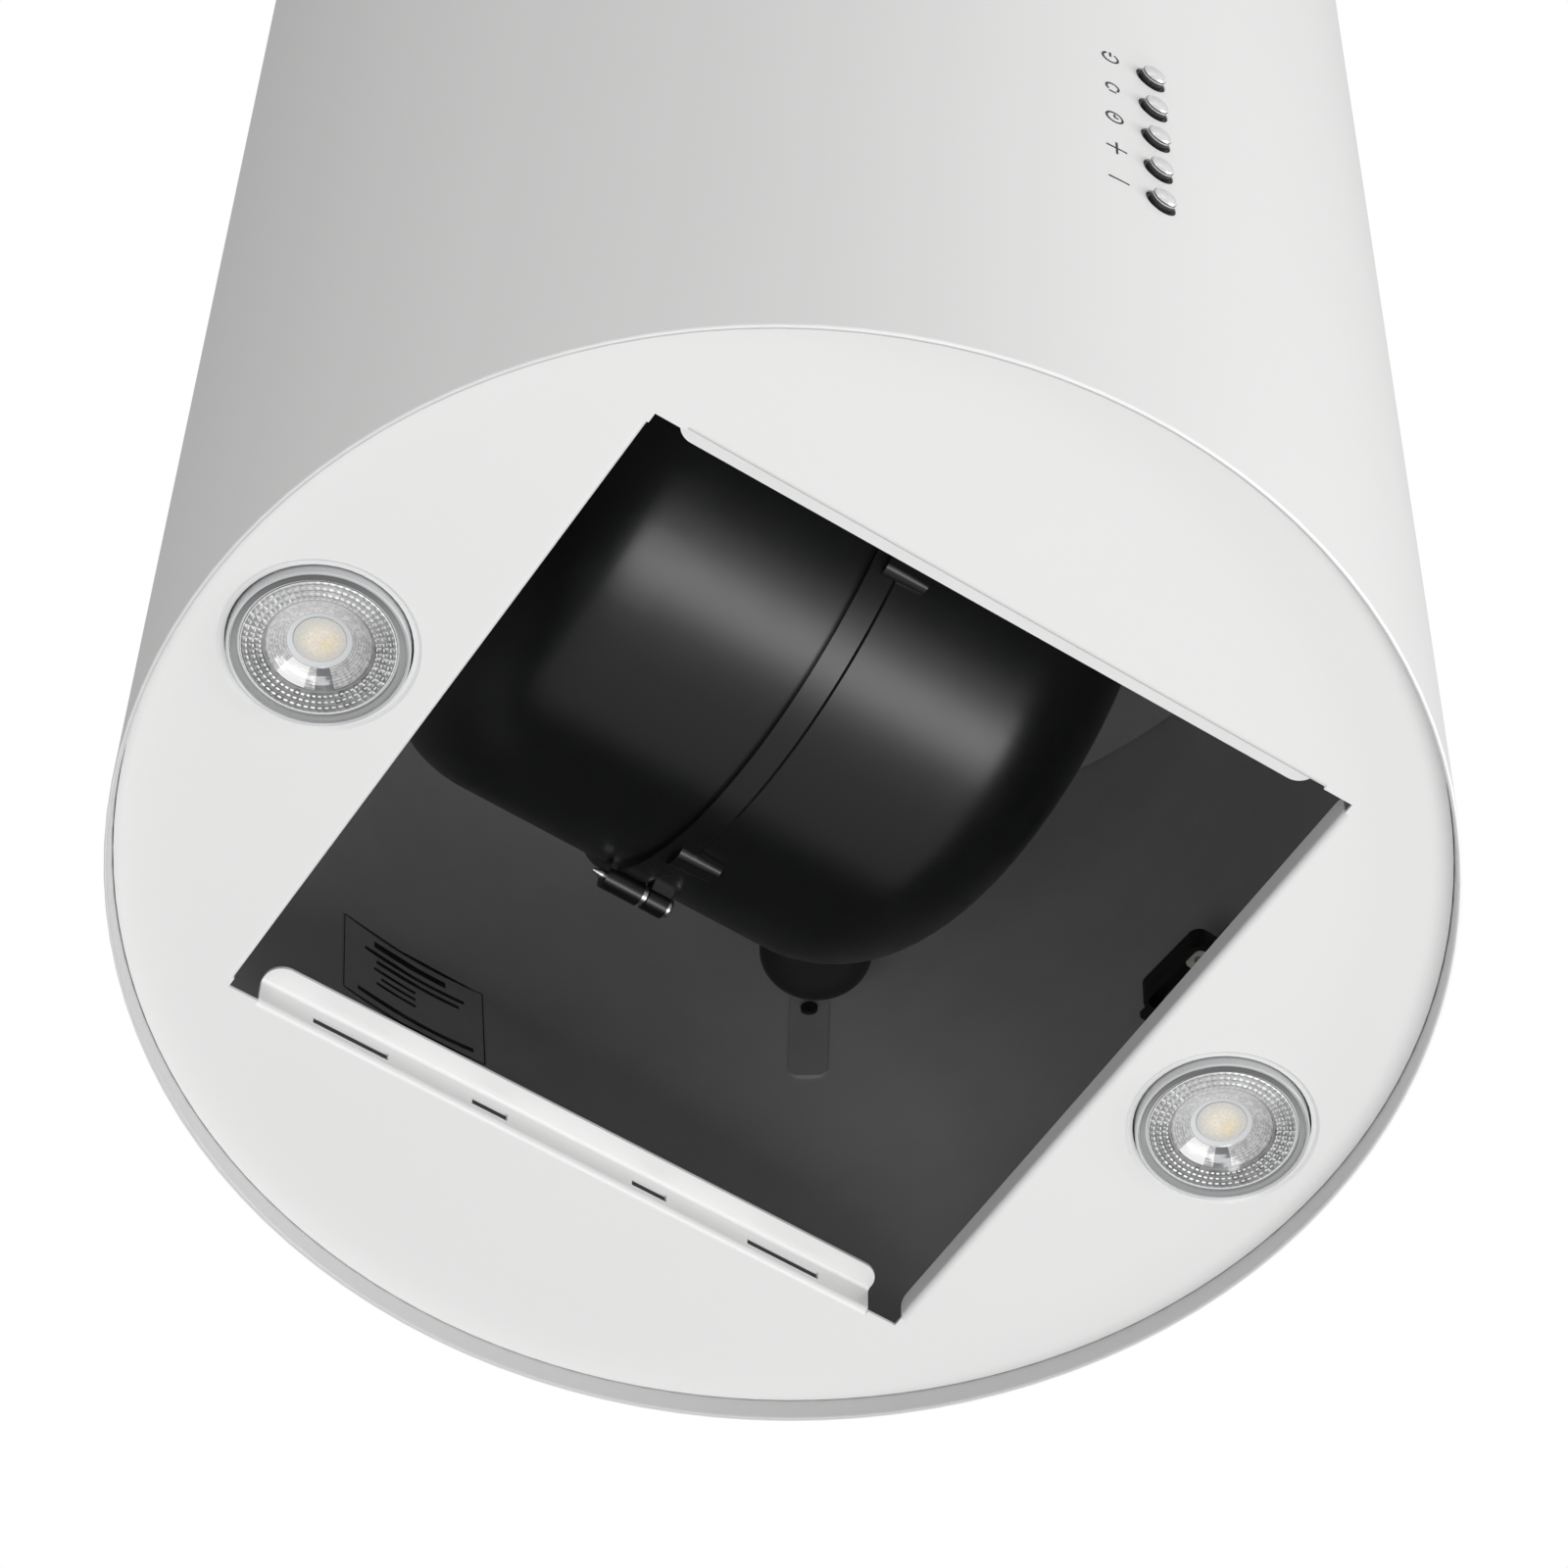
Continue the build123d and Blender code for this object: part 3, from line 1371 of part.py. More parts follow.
# ---------------------------------------------------------------------- sleeve grips
grip_sheet = 1.2
grip_width = 20.0
grip_start = plate_side / 2 - 22.0
grip_bend = 3.0
grip_drop = 34.0

with BuildPart() as sleeve_grips:
    grip_reach = sleeve_r - sleeve_wall - part_gap - grip_sheet / 2
    grip_top = -plate_sheet - grip_sheet / 2
    for angle in (0, 90, 180, 270):
        outward = radial_plane(angle, 0, 0).z_dir
        side_view = Plane(origin=(0, 0, 0), x_dir=outward, z_dir=outward.cross(Vector(0, 0, 1)))
        with BuildSketch(side_view):
            with BuildLine():
                FilletPolyline(
                    (grip_start, grip_top),
                    (grip_reach, grip_top),
                    (grip_reach, grip_top - grip_drop),
                    radius=grip_bend,
                )
            trace(line_width=grip_sheet)
        extrude(amount=grip_width / 2, both=True)

sleeve_grips.part.label = "sleeve_grips"
export_step(sleeve_grips.part, "parts/sleeve_grips.step")

# ------------------------------------------------ terminal box, gland, label and tabs
box_point = around(inner_r - 20.0, 12.2)
box_turn = 3.4
box_width = 30.0
box_height = 9.4
box_depth = 15.0
box_bottom = rim_z + 132.6
box_wall = 1.6
box_corner = 4.0
inner_corner = box_corner - box_wall
foot_width = 4.0
foot_depth = 12.0
foot_height = 3.0
stub_r = 3.0
stub_length = 9.0
block_width = 8.0
block_height = 7.0
block_depth = 11.5
wire_hole_r = 1.5
wire_hole_depth = 5.0
wire_pitch = 5.0
skin_gap = 0.02


def box_plan(height):
    """Level plane of the box: local x along its length, local y from the wall inwards."""
    along = radial_plane(box_turn, 0, 0).x_dir
    return Plane(origin=(*box_point, box_bottom + height), x_dir=along, z_dir=(0, 0, 1))


with BuildPart() as terminal_box:
    with BuildSketch(box_plan(0)):
        with Locations((0, -body_r / 2)):
            RectangleRounded(box_width, body_r, box_corner)
    extrude(amount=box_height)
    with BuildSketch(box_plan(0)):
        with Locations(((box_width + foot_width) / 2 - box_corner / 2, -box_corner - foot_depth / 2)):
            Rectangle(foot_width + box_corner, foot_depth)
    extrude(amount=foot_height)
    with BuildSketch(Plane.XY.offset(rim_z)):
        Circle(inner_r - skin_gap)
    extrude(amount=body_height, mode=Mode.INTERSECT)
    with BuildSketch(box_plan(0)):
        with Locations((0, -box_depth / 2)):
            RectangleRounded(box_width - 2 * box_wall, box_depth - 2 * box_wall, inner_corner)
    extrude(amount=box_height - box_wall, mode=Mode.SUBTRACT)
    across = radial_plane(box_turn, 0, 0).z_dir
    stub_root = box_plan(box_height / 2).origin + across * box_depth * 0.6
    stub_plane = Plane(origin=stub_root, x_dir=across, z_dir=-box_plan(0).x_dir)
    with BuildSketch(stub_plane.offset(box_width / 2 - box_wall / 2)):
        Circle(stub_r)
    extrude(amount=stub_length)

terminal_box.part.label = "terminal_box"
export_step(terminal_box.part, "parts/terminal_box.step")

with BuildPart() as terminal_block:
    block_x = box_wall - box_width / 2 + block_width / 2
    block_floor = box_height - box_wall - block_height
    with BuildSketch(box_plan(block_floor)):
        with Locations((block_x, -box_wall - block_depth / 2)):
            RectangleRounded(block_width, block_depth, inner_corner)
    extrude(amount=block_height)
    with BuildSketch(box_plan(block_floor)):
        with Locations((block_x, -box_wall - block_depth / 2)):
            with GridLocations(0, wire_pitch, 1, 2):
                Circle(wire_hole_r)
    extrude(amount=wire_hole_depth, mode=Mode.SUBTRACT)

terminal_block.part.label = "terminal_block"
export_step(terminal_block.part, "parts/terminal_block.step")

gland_bore_r = 5.0
gland_length = 26.0
gland_hex = 11.0
gland_hex_height = 6.0
gland_cap_r = 9.5
gland_cap_height = 9.0
gland_top = deck_top + gland_hex_height + gland_cap_height

with BuildPart() as cable_gland:
    with BuildSketch(Plane.XY.offset(deck_top)):
        with Locations(gland_point):
            RegularPolygon(gland_hex, 6, major_radius=False)
    extrude(amount=gland_hex_height)
    with BuildSketch(Plane.XY.offset(deck_top + gland_hex_height)):
        with Locations(gland_point):
            Circle(gland_cap_r)
    extrude(amount=gland_cap_height)
    fillet(cable_gland.edges().group_by(Axis.Z)[-1], radius=3.0)
    with BuildSketch(Plane.XY.offset(deck_top)):
        with Locations(gland_point):
            Circle(gland_hole_r - 0.1)
    extrude(amount=gland_top - gland_length - deck_top)
    with BuildSketch(Plane.XY.offset(gland_top)):
        with Locations(gland_point):
            Circle(gland_bore_r)
    extrude(amount=-gland_length, mode=Mode.SUBTRACT)

cable_gland.part.label = "cable_gland"
export_step(cable_gland.part, "parts/cable_gland.step")

label_angle = 97.1
label_width = 57.6
label_height = 36.0
label_tilt = -6.0
label_sheet = 0.25
label_z = rim_z + 150.0

with BuildPart() as rating_label:
    with BuildSketch(radial_plane(label_angle, inner_r / 2, label_z)):
        Rectangle(label_width, label_height, rotation=label_tilt)
    extrude(amount=body_r)
    label_outer = inner_r - skin_gap
    label_band = ring(label_outer, label_outer - label_sheet, Plane.XY.offset(rim_z))
    extrude(label_band, amount=body_height, mode=Mode.INTERSECT)

rating_label.part.label = "rating_label"
export_step(rating_label.part, "parts/rating_label.step")

tab_angles = (55.3, 124.7, 235.3, 304.7)
tab_width = 13.0
tab_height = 43.0
tab_corner = 4.0
tab_sheet = 1.2
tab_z = rim_z + 186.5
tab_hole_z = rim_z + 200.0
tab_hole_r = 2.1
rivet_head = 1.3
tab_outer = inner_r - skin_gap

with BuildPart() as wall_tabs:
    for angle in tab_angles:
        with BuildSketch(radial_plane(angle, inner_r / 2, tab_z)):
            RectangleRounded(tab_width, tab_height, tab_corner)
            with Locations((0, tab_hole_z - tab_z)):
                Circle(tab_hole_r, mode=Mode.SUBTRACT)
        extrude(amount=body_r)
    tab_band = ring(tab_outer, tab_outer - tab_sheet, Plane.XY.offset(rim_z))
    extrude(tab_band, amount=body_height, mode=Mode.INTERSECT)

wall_tabs.part.label = "wall_tabs"
export_step(wall_tabs.part, "parts/wall_tabs.step")

with BuildPart() as tab_rivets:
    for angle in tab_angles:
        head = radial_plane(angle, tab_outer - tab_sheet - slide_gap, tab_hole_z)
        with BuildSketch(head):
            Circle(tab_hole_r * 1.35)
        extrude(amount=-rivet_head)
        with BuildSketch(head):
            Circle(tab_hole_r - 0.02)
        extrude(amount=tab_sheet)
        with BuildSketch(head.offset(-rivet_head)):
            Circle(tab_hole_r * 0.45)
        extrude(amount=rivet_head * 0.6, mode=Mode.SUBTRACT)

tab_rivets.part.label = "tab_rivets"
export_step(tab_rivets.part, "parts/tab_rivets.step")
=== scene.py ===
import math

import bmesh
import bpy
from mathutils import Matrix, Vector


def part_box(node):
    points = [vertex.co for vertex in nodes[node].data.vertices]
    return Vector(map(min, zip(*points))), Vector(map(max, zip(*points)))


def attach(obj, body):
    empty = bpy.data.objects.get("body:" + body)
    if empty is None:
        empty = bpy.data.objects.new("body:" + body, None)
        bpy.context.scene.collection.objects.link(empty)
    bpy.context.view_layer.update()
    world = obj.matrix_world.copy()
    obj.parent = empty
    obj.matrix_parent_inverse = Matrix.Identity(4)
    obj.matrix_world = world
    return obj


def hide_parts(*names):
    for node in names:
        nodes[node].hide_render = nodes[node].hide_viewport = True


# Looks of the island range hood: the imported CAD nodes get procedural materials, and the
# lenses, reflectors, printed signs and label print are meshes made here.  Metres, +Z up.

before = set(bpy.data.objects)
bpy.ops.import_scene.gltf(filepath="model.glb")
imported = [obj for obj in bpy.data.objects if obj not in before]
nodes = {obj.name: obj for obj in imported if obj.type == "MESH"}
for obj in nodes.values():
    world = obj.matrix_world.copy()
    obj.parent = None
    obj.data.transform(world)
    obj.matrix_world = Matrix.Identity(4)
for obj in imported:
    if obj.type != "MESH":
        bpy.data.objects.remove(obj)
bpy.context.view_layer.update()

MM = 0.001

# ------------------------------------------------------------------ places from the CAD
shell_low, shell_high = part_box("body_shell")
panel_low, panel_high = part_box("bottom_panel")
body_radius = shell_high.x
rim = Vector((0, 0, shell_low.z))
wall = 1.5 * MM


# -------------------------------------------------------------------- camera and lights
def add_camera():
    """Long lens below and in front of the hood, a little to its left, looking up."""
    data = bpy.data.cameras.new("camera")
    lens_length, sensor_width = 121.8, 36.0
    place = rim + Vector((-0.46347, -0.75218, -1.19619))
    data.lens = lens_length
    data.sensor_width = sensor_width
    data.clip_end = 50.0
    camera = bpy.data.objects.new("camera", data)
    azimuth = math.radians(31.61)
    elevation = math.radians(54.95)
    roll = math.radians(1.70)
    turn = Matrix.Rotation(-azimuth, 3, "Z")
    tilt = Matrix.Rotation(math.pi / 2 + elevation, 3, "X")
    twist = Matrix.Rotation(roll, 3, "Z")
    camera.matrix_world = Matrix.Translation(place) @ (turn @ tilt @ twist).to_4x4()
    bpy.context.scene.collection.objects.link(camera)
    bpy.context.scene.camera = camera


def add_area_light(name, place, target, width, depth, power):
    """Rectangular soft box at a place, aimed at a target."""
    data = bpy.data.lights.new(name, "AREA")
    data.shape = "RECTANGLE"
    data.size = width
    data.size_y = depth
    data.energy = power
    light = bpy.data.objects.new(name, data)
    light.location = place
    light.rotation_euler = (target - place).to_track_quat("-Z", "Y").to_euler()
    bpy.context.scene.collection.objects.link(light)


def add_world(seen, lighting):
    """White surroundings: as bright as seen to the camera, dimmer as a light."""
    world = bpy.data.worlds.new("studio")
    bpy.context.scene.world = world
    world.use_nodes = True
    tree = world.node_tree
    background = tree.nodes["Background"]
    background.inputs["Color"].default_value = (1, 1, 1, 1)
    path = tree.nodes.new("ShaderNodeLightPath")
    strength = tree.nodes.new("ShaderNodeMapRange")
    strength.inputs["To Min"].default_value = lighting
    strength.inputs["To Max"].default_value = seen
    tree.links.new(path.outputs["Is Camera Ray"], strength.inputs["Value"])
    tree.links.new(strength.outputs["Result"], background.inputs["Strength"])


def add_floor(drop, reach):
    """Plain pale floor far below the hanging hood."""
    mesh = bpy.data.meshes.new("floor")
    corners = [(-reach, -reach), (reach, -reach), (reach, reach), (-reach, reach)]
    mesh.from_pydata([(x, y, rim.z - drop) for x, y in corners], [], [(0, 1, 2, 3)])
    floor = bpy.data.objects.new("floor", mesh)
    bpy.context.scene.collection.objects.link(floor)
    floor.data.materials.append(floor_paint())


# --------------------------------------------------------------------- material helpers
def new_material(name, base, roughness, metallic=0.0, **sockets):
    """Material with a Principled shader; returns it with its tree and shader."""
    material = bpy.data.materials.new(name)
    material.use_nodes = True
    tree = material.node_tree
    shader = tree.nodes["Principled BSDF"]
    shader.inputs["Base Color"].default_value = (*base, 1)
    shader.inputs["Roughness"].default_value = roughness
    shader.inputs["Metallic"].default_value = metallic
    for socket, value in sockets.items():
        shader.inputs[socket.replace("_", " ")].default_value = value
    return material, tree, shader


def position(tree, scale=(1, 1, 1)):
    """Place on the object in metres, stretched per axis."""
    coordinates = tree.nodes.new("ShaderNodeTexCoord")
    mapping = tree.nodes.new("ShaderNodeMapping")
    mapping.inputs["Scale"].default_value = scale
    tree.links.new(coordinates.outputs["Object"], mapping.inputs["Vector"])
    return mapping.outputs["Vector"]


def noise(tree, size, detail=2.0, stretch=(1, 1, 1)):
    """Noise with grains of about size metres."""
    texture = tree.nodes.new("ShaderNodeTexNoise")
    texture.inputs["Scale"].default_value = 1.0 / size
    texture.inputs["Detail"].default_value = detail
    tree.links.new(position(tree, stretch), texture.inputs["Vector"])
    return texture.outputs["Fac"]


def cells(tree, size, output="Distance"):
    """Cells of about size metres."""
    texture = tree.nodes.new("ShaderNodeTexVoronoi")
    texture.inputs["Scale"].default_value = 1.0 / size
    tree.links.new(position(tree), texture.inputs["Vector"])
    return texture.outputs[output]


def maths(tree, operation, first, second=0.0):
    """One sum on two numbers or outputs."""
    node = tree.nodes.new("ShaderNodeMath")
    node.operation = operation
    for socket, value in zip(node.inputs, (first, second)):
        if isinstance(value, (int, float)):
            socket.default_value = value
        else:
            tree.links.new(value, socket)
    return node.outputs["Value"]


def spread(tree, factor, low, high):
    """Maps a 0 to 1 factor to low to high."""
    node = tree.nodes.new("ShaderNodeMapRange")
    node.inputs["To Min"].default_value = low
    node.inputs["To Max"].default_value = high
    tree.links.new(factor, node.inputs["Value"])
    return node.outputs["Result"]


def colour_sockets(node):
    """The colour inputs and output of a Mix node set to colours."""
    inputs = [socket for socket in node.inputs if socket.type == "RGBA"]
    outputs = [socket for socket in node.outputs if socket.type == "RGBA"]
    return inputs, outputs[0]


def mix(tree, factor, first, second):
    """Colour between first and second, each a colour or an output."""
    node = tree.nodes.new("ShaderNodeMix")
    node.data_type = "RGBA"
    tree.links.new(factor, node.inputs[0])
    inputs, output = colour_sockets(node)
    for socket, value in zip(inputs, (first, second)):
        if isinstance(value, tuple):
            socket.default_value = (*value, 1)
        else:
            tree.links.new(value, socket)
    return output


def add_bump(tree, shader, height, strength, depth):
    """Relief of a depth in metres on the shader's normal."""
    node = tree.nodes.new("ShaderNodeBump")
    node.inputs["Strength"].default_value = strength
    node.inputs["Distance"].default_value = depth
    tree.links.new(height, node.inputs["Height"])
    tree.links.new(node.outputs["Normal"], shader.inputs["Normal"])


def axis_part(tree, name):
    """One coordinate of the place on the object."""
    split = tree.nodes.new("ShaderNodeSeparateXYZ")
    tree.links.new(position(tree), split.inputs["Vector"])
    return split.outputs[name]


def within_band(tree, value, low, high):
    """1 where a value lies between low and high."""
    above = maths(tree, "GREATER_THAN", value, low)
    below = maths(tree, "LESS_THAN", value, high)
    return maths(tree, "MULTIPLY", above, below)


def length_of(tree, first, second):
    """Length of the arrow whose two parts are given."""
    squares = [maths(tree, "POWER", part, 2.0) for part in (first, second)]
    return maths(tree, "SQRT", maths(tree, "ADD", *squares))


def radius_from_axis(tree):
    """Distance from the hood's vertical axis."""
    return length_of(tree, axis_part(tree, "X"), axis_part(tree, "Y"))


def share_of_step(tree, value, step):
    """How far a value is, from 0 to 1, between two multiples of a step."""
    return maths(tree, "MODULO", maths(tree, "DIVIDE", value, step), 1.0)


def grey_of(tree, value):
    """Grey colour from a number."""
    colour = tree.nodes.new("ShaderNodeCombineXYZ")
    for socket in colour.inputs:
        tree.links.new(value, socket)
    return colour.outputs["Vector"]


def shade(colour, factor):
    """A colour made darker or lighter."""
    return tuple(min(1.0, channel * factor) for channel in colour)


def mottled(name, base, roughness, grain, darker, lighter, **sockets):
    """Material whose base colour wanders between two shades in grains of a size."""
    material, tree, shader = new_material(name, base, roughness, **sockets)
    tone = mix(tree, noise(tree, grain), shade(base, darker), shade(base, lighter))
    tree.links.new(tone, shader.inputs["Base Color"])
    return material, tree, shader


# ----------------------------------------------------------------------------- materials
def floor_paint():
    """Pale matt grey."""
    material, tree, shader = new_material("floor_paint", (0.72, 0.72, 0.72), 0.8)
    tone = mix(tree, noise(tree, 0.4), (0.70, 0.70, 0.70), (0.74, 0.74, 0.74))
    tree.links.new(tone, shader.inputs["Base Color"])
    return material


WHITE = (0.87, 0.87, 0.865)
# Inner wall and inner lip: the hood's white paint, painted grey as painted shade.
INSIDE_PAINTED_SHADE = (0.50, 0.50, 0.505)
LIP_PAINTED_SHADE = (0.62, 0.62, 0.62)


def powder_coat(tree, shader, base):
    """Colour, gloss and orange peel of a satin powder coat."""
    tone = mix(tree, noise(tree, 0.09), shade(base, 0.985), shade(base, 1.0))
    gloss = spread(tree, noise(tree, 0.03), 0.30, 0.36)
    tree.links.new(gloss, shader.inputs["Roughness"])
    add_bump(tree, shader, noise(tree, 1.6 * MM, detail=1.0), 0.12, 0.04 * MM)
    return tone


def white_paint():
    """White powder coat of the panel and the sleeve."""
    material, tree, shader = new_material("white_paint", WHITE, 0.33, Coat_Weight=0.15)
    tree.links.new(powder_coat(tree, shader, WHITE), shader.inputs["Base Color"])
    return material


def shell_paint():
    """White outside; the inner wall and the inner lip below the panel are painted grey as
    painted shade.
    """
    material, tree, shader = new_material("shell_paint", WHITE, 0.33, Coat_Weight=0.15)
    outside = powder_coat(tree, shader, WHITE)
    # painted shade: mid grey on the inner wall above the panel, a lighter grey on the inner lip
    # below it
    dark = mix(tree, noise(tree, 0.02), shade(INSIDE_PAINTED_SHADE, 0.93), shade(INSIDE_PAINTED_SHADE, 1.07))
    within = maths(tree, "LESS_THAN", radius_from_axis(tree), body_radius - wall / 2)
    above = maths(tree, "GREATER_THAN", axis_part(tree, "Z"), panel_low.z + 0.5 * MM)
    inner = maths(tree, "MULTIPLY", within, above)
    shaded = mix(tree, within, outside, LIP_PAINTED_SHADE)
    tree.links.new(mix(tree, inner, shaded, dark), shader.inputs["Base Color"])
    return material


def dark_coat():
    """Grey paint on the deck and the tabs inside the hood."""
    grey = (0.40, 0.40, 0.405)
    material, tree, shader = mottled("dark_coat", grey, 0.5, 0.015, 0.9, 1.1)
    add_bump(tree, shader, noise(tree, 1.2 * MM), 0.15, 0.04 * MM)
    return material


def zinc_sheet():
    """Galvanised sheet with its spangle and faint rolling lines."""
    base = (0.60, 0.61, 0.62)
    material, tree, shader = new_material("zinc_sheet", base, 0.38, metallic=0.9)
    spangle = cells(tree, 7 * MM, "Color")
    grain = noise(tree, 0.8 * MM, stretch=(1, 1, 0.08))
    tone = mix(tree, maths(tree, "MULTIPLY", spangle, 0.6), shade(base, 0.82), shade(base, 1.15))
    tone = mix(tree, maths(tree, "MULTIPLY", grain, 0.25), tone, shade(base, 0.8))
    tree.links.new(tone, shader.inputs["Base Color"])
    tree.links.new(spread(tree, spangle, 0.30, 0.50), shader.inputs["Roughness"])
    add_bump(tree, shader, grain, 0.08, 0.02 * MM)
    return material


def zinc_screw():
    """Bright plated steel of the screws and nuts."""
    zinc = (0.70, 0.70, 0.68)
    material, tree, shader = mottled("zinc_screw", zinc, 0.28, 1.5 * MM, 0.8, 1.1, metallic=1.0)
    tree.links.new(spread(tree, noise(tree, 0.6 * MM), 0.2, 0.4), shader.inputs["Roughness"])
    return material


def housing_plastic():
    """Satin black moulding with a very fine grain."""
    black = (0.0045, 0.0048, 0.0055)
    gloss = {"Specular_IOR_Level": 0.6}
    material, tree, shader = mottled("housing_plastic", black, 0.3, 0.04, 0.85, 1.25, **gloss)
    tree.links.new(spread(tree, noise(tree, 0.012), 0.29, 0.33), shader.inputs["Roughness"])
    add_bump(tree, shader, noise(tree, 0.5 * MM, detail=3.0), 0.10, 0.03 * MM)
    return material


def black_plastic():
    """Black moulding of the small electrical pieces and the flaps."""
    black = (0.014, 0.014, 0.015)
    material, tree, shader = mottled("black_plastic", black, 0.42, 4 * MM, 0.8, 1.3)
    add_bump(tree, shader, noise(tree, 0.4 * MM), 0.15, 0.03 * MM)
    return material


def dark_plastic():
    """Dark grey moulding of the impeller."""
    grey = (0.06, 0.06, 0.065)
    material, tree, shader = mottled("dark_plastic", grey, 0.5, 5 * MM, 0.8, 1.2)
    add_bump(tree, shader, noise(tree, 0.4 * MM), 0.15, 0.03 * MM)
    return material


def ceramic():
    """Cream glaze of the terminal block."""
    cream = (0.80, 0.77, 0.70)
    material, tree, shader = mottled("ceramic", cream, 0.3, 3 * MM, 0.92, 1.04)
    add_bump(tree, shader, noise(tree, 1.0 * MM), 0.1, 0.05 * MM)
    return material


def circuit_board():
    """Green lacquer over a grid of tracks."""
    material, tree, shader = new_material("circuit_board", (0.02, 0.16, 0.07), 0.35)
    tracks = maths(tree, "GREATER_THAN", noise(tree, 1.2 * MM, stretch=(1, 1, 0.15)), 0.55)
    tone = mix(tree, tracks, (0.015, 0.14, 0.06), (0.05, 0.26, 0.12))
    tree.links.new(tone, shader.inputs["Base Color"])
    return material


def motor_steel():
    """Turned steel with fine rings round the motor's axis."""
    base = (0.42, 0.42, 0.43)
    material, tree, shader = new_material("motor_steel", base, 0.35, metallic=1.0)
    rings = noise(tree, 0.5 * MM, stretch=(6, 0.3, 0.3))
    tone = mix(tree, rings, shade(base, 0.8), shade(base, 1.15))
    tree.links.new(tone, shader.inputs["Base Color"])
    tree.links.new(spread(tree, rings, 0.28, 0.45), shader.inputs["Roughness"])
    return material


def button_metal():
    """Bright satin cap with a silver edge, and dark sides with one silver band."""
    low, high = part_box("button_minus")
    next_low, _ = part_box("button_plus")
    pitch = next_low.z - low.z
    middle = (low + high) / 2
    face_r = 4.2 * MM
    face_depth = 1.0 * MM
    band_start, band_end = 1.35 * MM, 1.75 * MM
    white, silver, black = (0.90, 0.90, 0.90), (0.6, 0.6, 0.6), (0.03, 0.03, 0.032)
    material, tree, shader = new_material("button_metal", white, 0.25, metallic=0.35)
    across = maths(tree, "SUBTRACT", axis_part(tree, "X"), middle.x)
    height = maths(tree, "SUBTRACT", axis_part(tree, "Z"), middle.z - pitch / 2)
    level = maths(tree, "SUBTRACT", maths(tree, "FLOORED_MODULO", height, pitch), pitch / 2)
    radius = length_of(tree, across, level)
    depth = maths(tree, "SUBTRACT", axis_part(tree, "Y"), low.y)
    tone = mix(tree, noise(tree, 1.0 * MM), shade(white, 0.93), white)
    tone = mix(tree, maths(tree, "GREATER_THAN", radius, face_r), tone, silver)
    tone = mix(tree, maths(tree, "GREATER_THAN", depth, face_depth), tone, black)
    tone = mix(tree, within_band(tree, depth, band_start, band_end), tone, silver)
    tree.links.new(tone, shader.inputs["Base Color"])
    tree.links.new(spread(tree, noise(tree, 0.5 * MM), 0.2, 0.3), shader.inputs["Roughness"])
    return material


def bulb_plastic():
    """Pale glossy body of the reflector lamps."""
    grey = (0.62, 0.63, 0.64)
    material, tree, shader = mottled("bulb_plastic", grey, 0.25, 6 * MM, 0.95, 1.05)
    add_bump(tree, shader, noise(tree, 0.8 * MM), 0.08, 0.03 * MM)
    return material


def reflector_metal():
    """Vacuum-metallised facets behind the lens."""
    base = (0.86, 0.87, 0.88)
    material, tree, shader = new_material("reflector_metal", base, 0.12, metallic=1.0)
    tone = mix(tree, cells(tree, 1.6 * MM), shade(base, 0.75), shade(base, 1.05))
    tree.links.new(tone, shader.inputs["Base Color"])
    add_bump(tree, shader, cells(tree, 1.1 * MM), 0.5, 0.25 * MM)
    return material


def random_tone(tree, first, second):
    """Random number from 0 to 1 for each pair of whole numbers."""
    pair = tree.nodes.new("ShaderNodeCombineXYZ")
    tree.links.new(first, pair.inputs["X"])
    tree.links.new(second, pair.inputs["Y"])
    source = tree.nodes.new("ShaderNodeTexWhiteNoise")
    source.noise_dimensions = "2D"
    tree.links.new(pair.outputs["Vector"], source.inputs["Vector"])
    return source.outputs["Value"]


def facet_tone(tree, radius, turn, pitch, count):
    """Random number for each facet of rings of a pitch, with count facets round."""
    row = maths(tree, "FLOOR", maths(tree, "DIVIDE", radius, pitch))
    share = maths(tree, "MULTIPLY", turn, count / (2 * math.pi))
    return random_tone(tree, row, maths(tree, "FLOOR", share))


LENS_CORE = 7.2 * MM
LENS_COLLAR = 9.2 * MM
LENS_ROWS = 14.6 * MM
LENS_ROWS_END = 21.2 * MM
LENS_RIM = 22.1 * MM
LENS_RIM_END = 24.0 * MM
ROW_PITCH = 1.9 * MM
ROW_FACETS = 64
NET_PITCH = 0.75 * MM
NET_FACETS = 96


def lens_rows(tree, radius, turn, towards_painted_shading):
    """Prism rows: a painted highlight dash on each facet, painted shade away from the painted
    shading angle, with dark lines between.
    """
    bright, line = (0.86, 0.87, 0.88), (0.30, 0.31, 0.32)
    facets_per_radian = ROW_FACETS / (2 * math.pi)
    row = share_of_step(tree, radius, ROW_PITCH)
    count = maths(tree, "ADD", maths(tree, "MULTIPLY", turn, facets_per_radian), ROW_FACETS)
    step = maths(tree, "MODULO", count, 1.0)
    chance = facet_tone(tree, radius, turn, ROW_PITCH, ROW_FACETS)
    # painted shade: darker away from the painted shading angle
    ground = spread(tree, towards_painted_shading, 0.13, 0.50)
    ground = maths(tree, "ADD", ground, maths(tree, "MULTIPLY", chance, 0.16))
    # painted highlight: a bright dash on each facet
    in_row = within_band(tree, row, 0.30, 0.52)
    dash = maths(tree, "MULTIPLY", in_row, within_band(tree, step, 0.2, 0.75))
    rows = mix(tree, dash, grey_of(tree, ground), bright)
    return mix(tree, maths(tree, "GREATER_THAN", row, 0.86), rows, line)


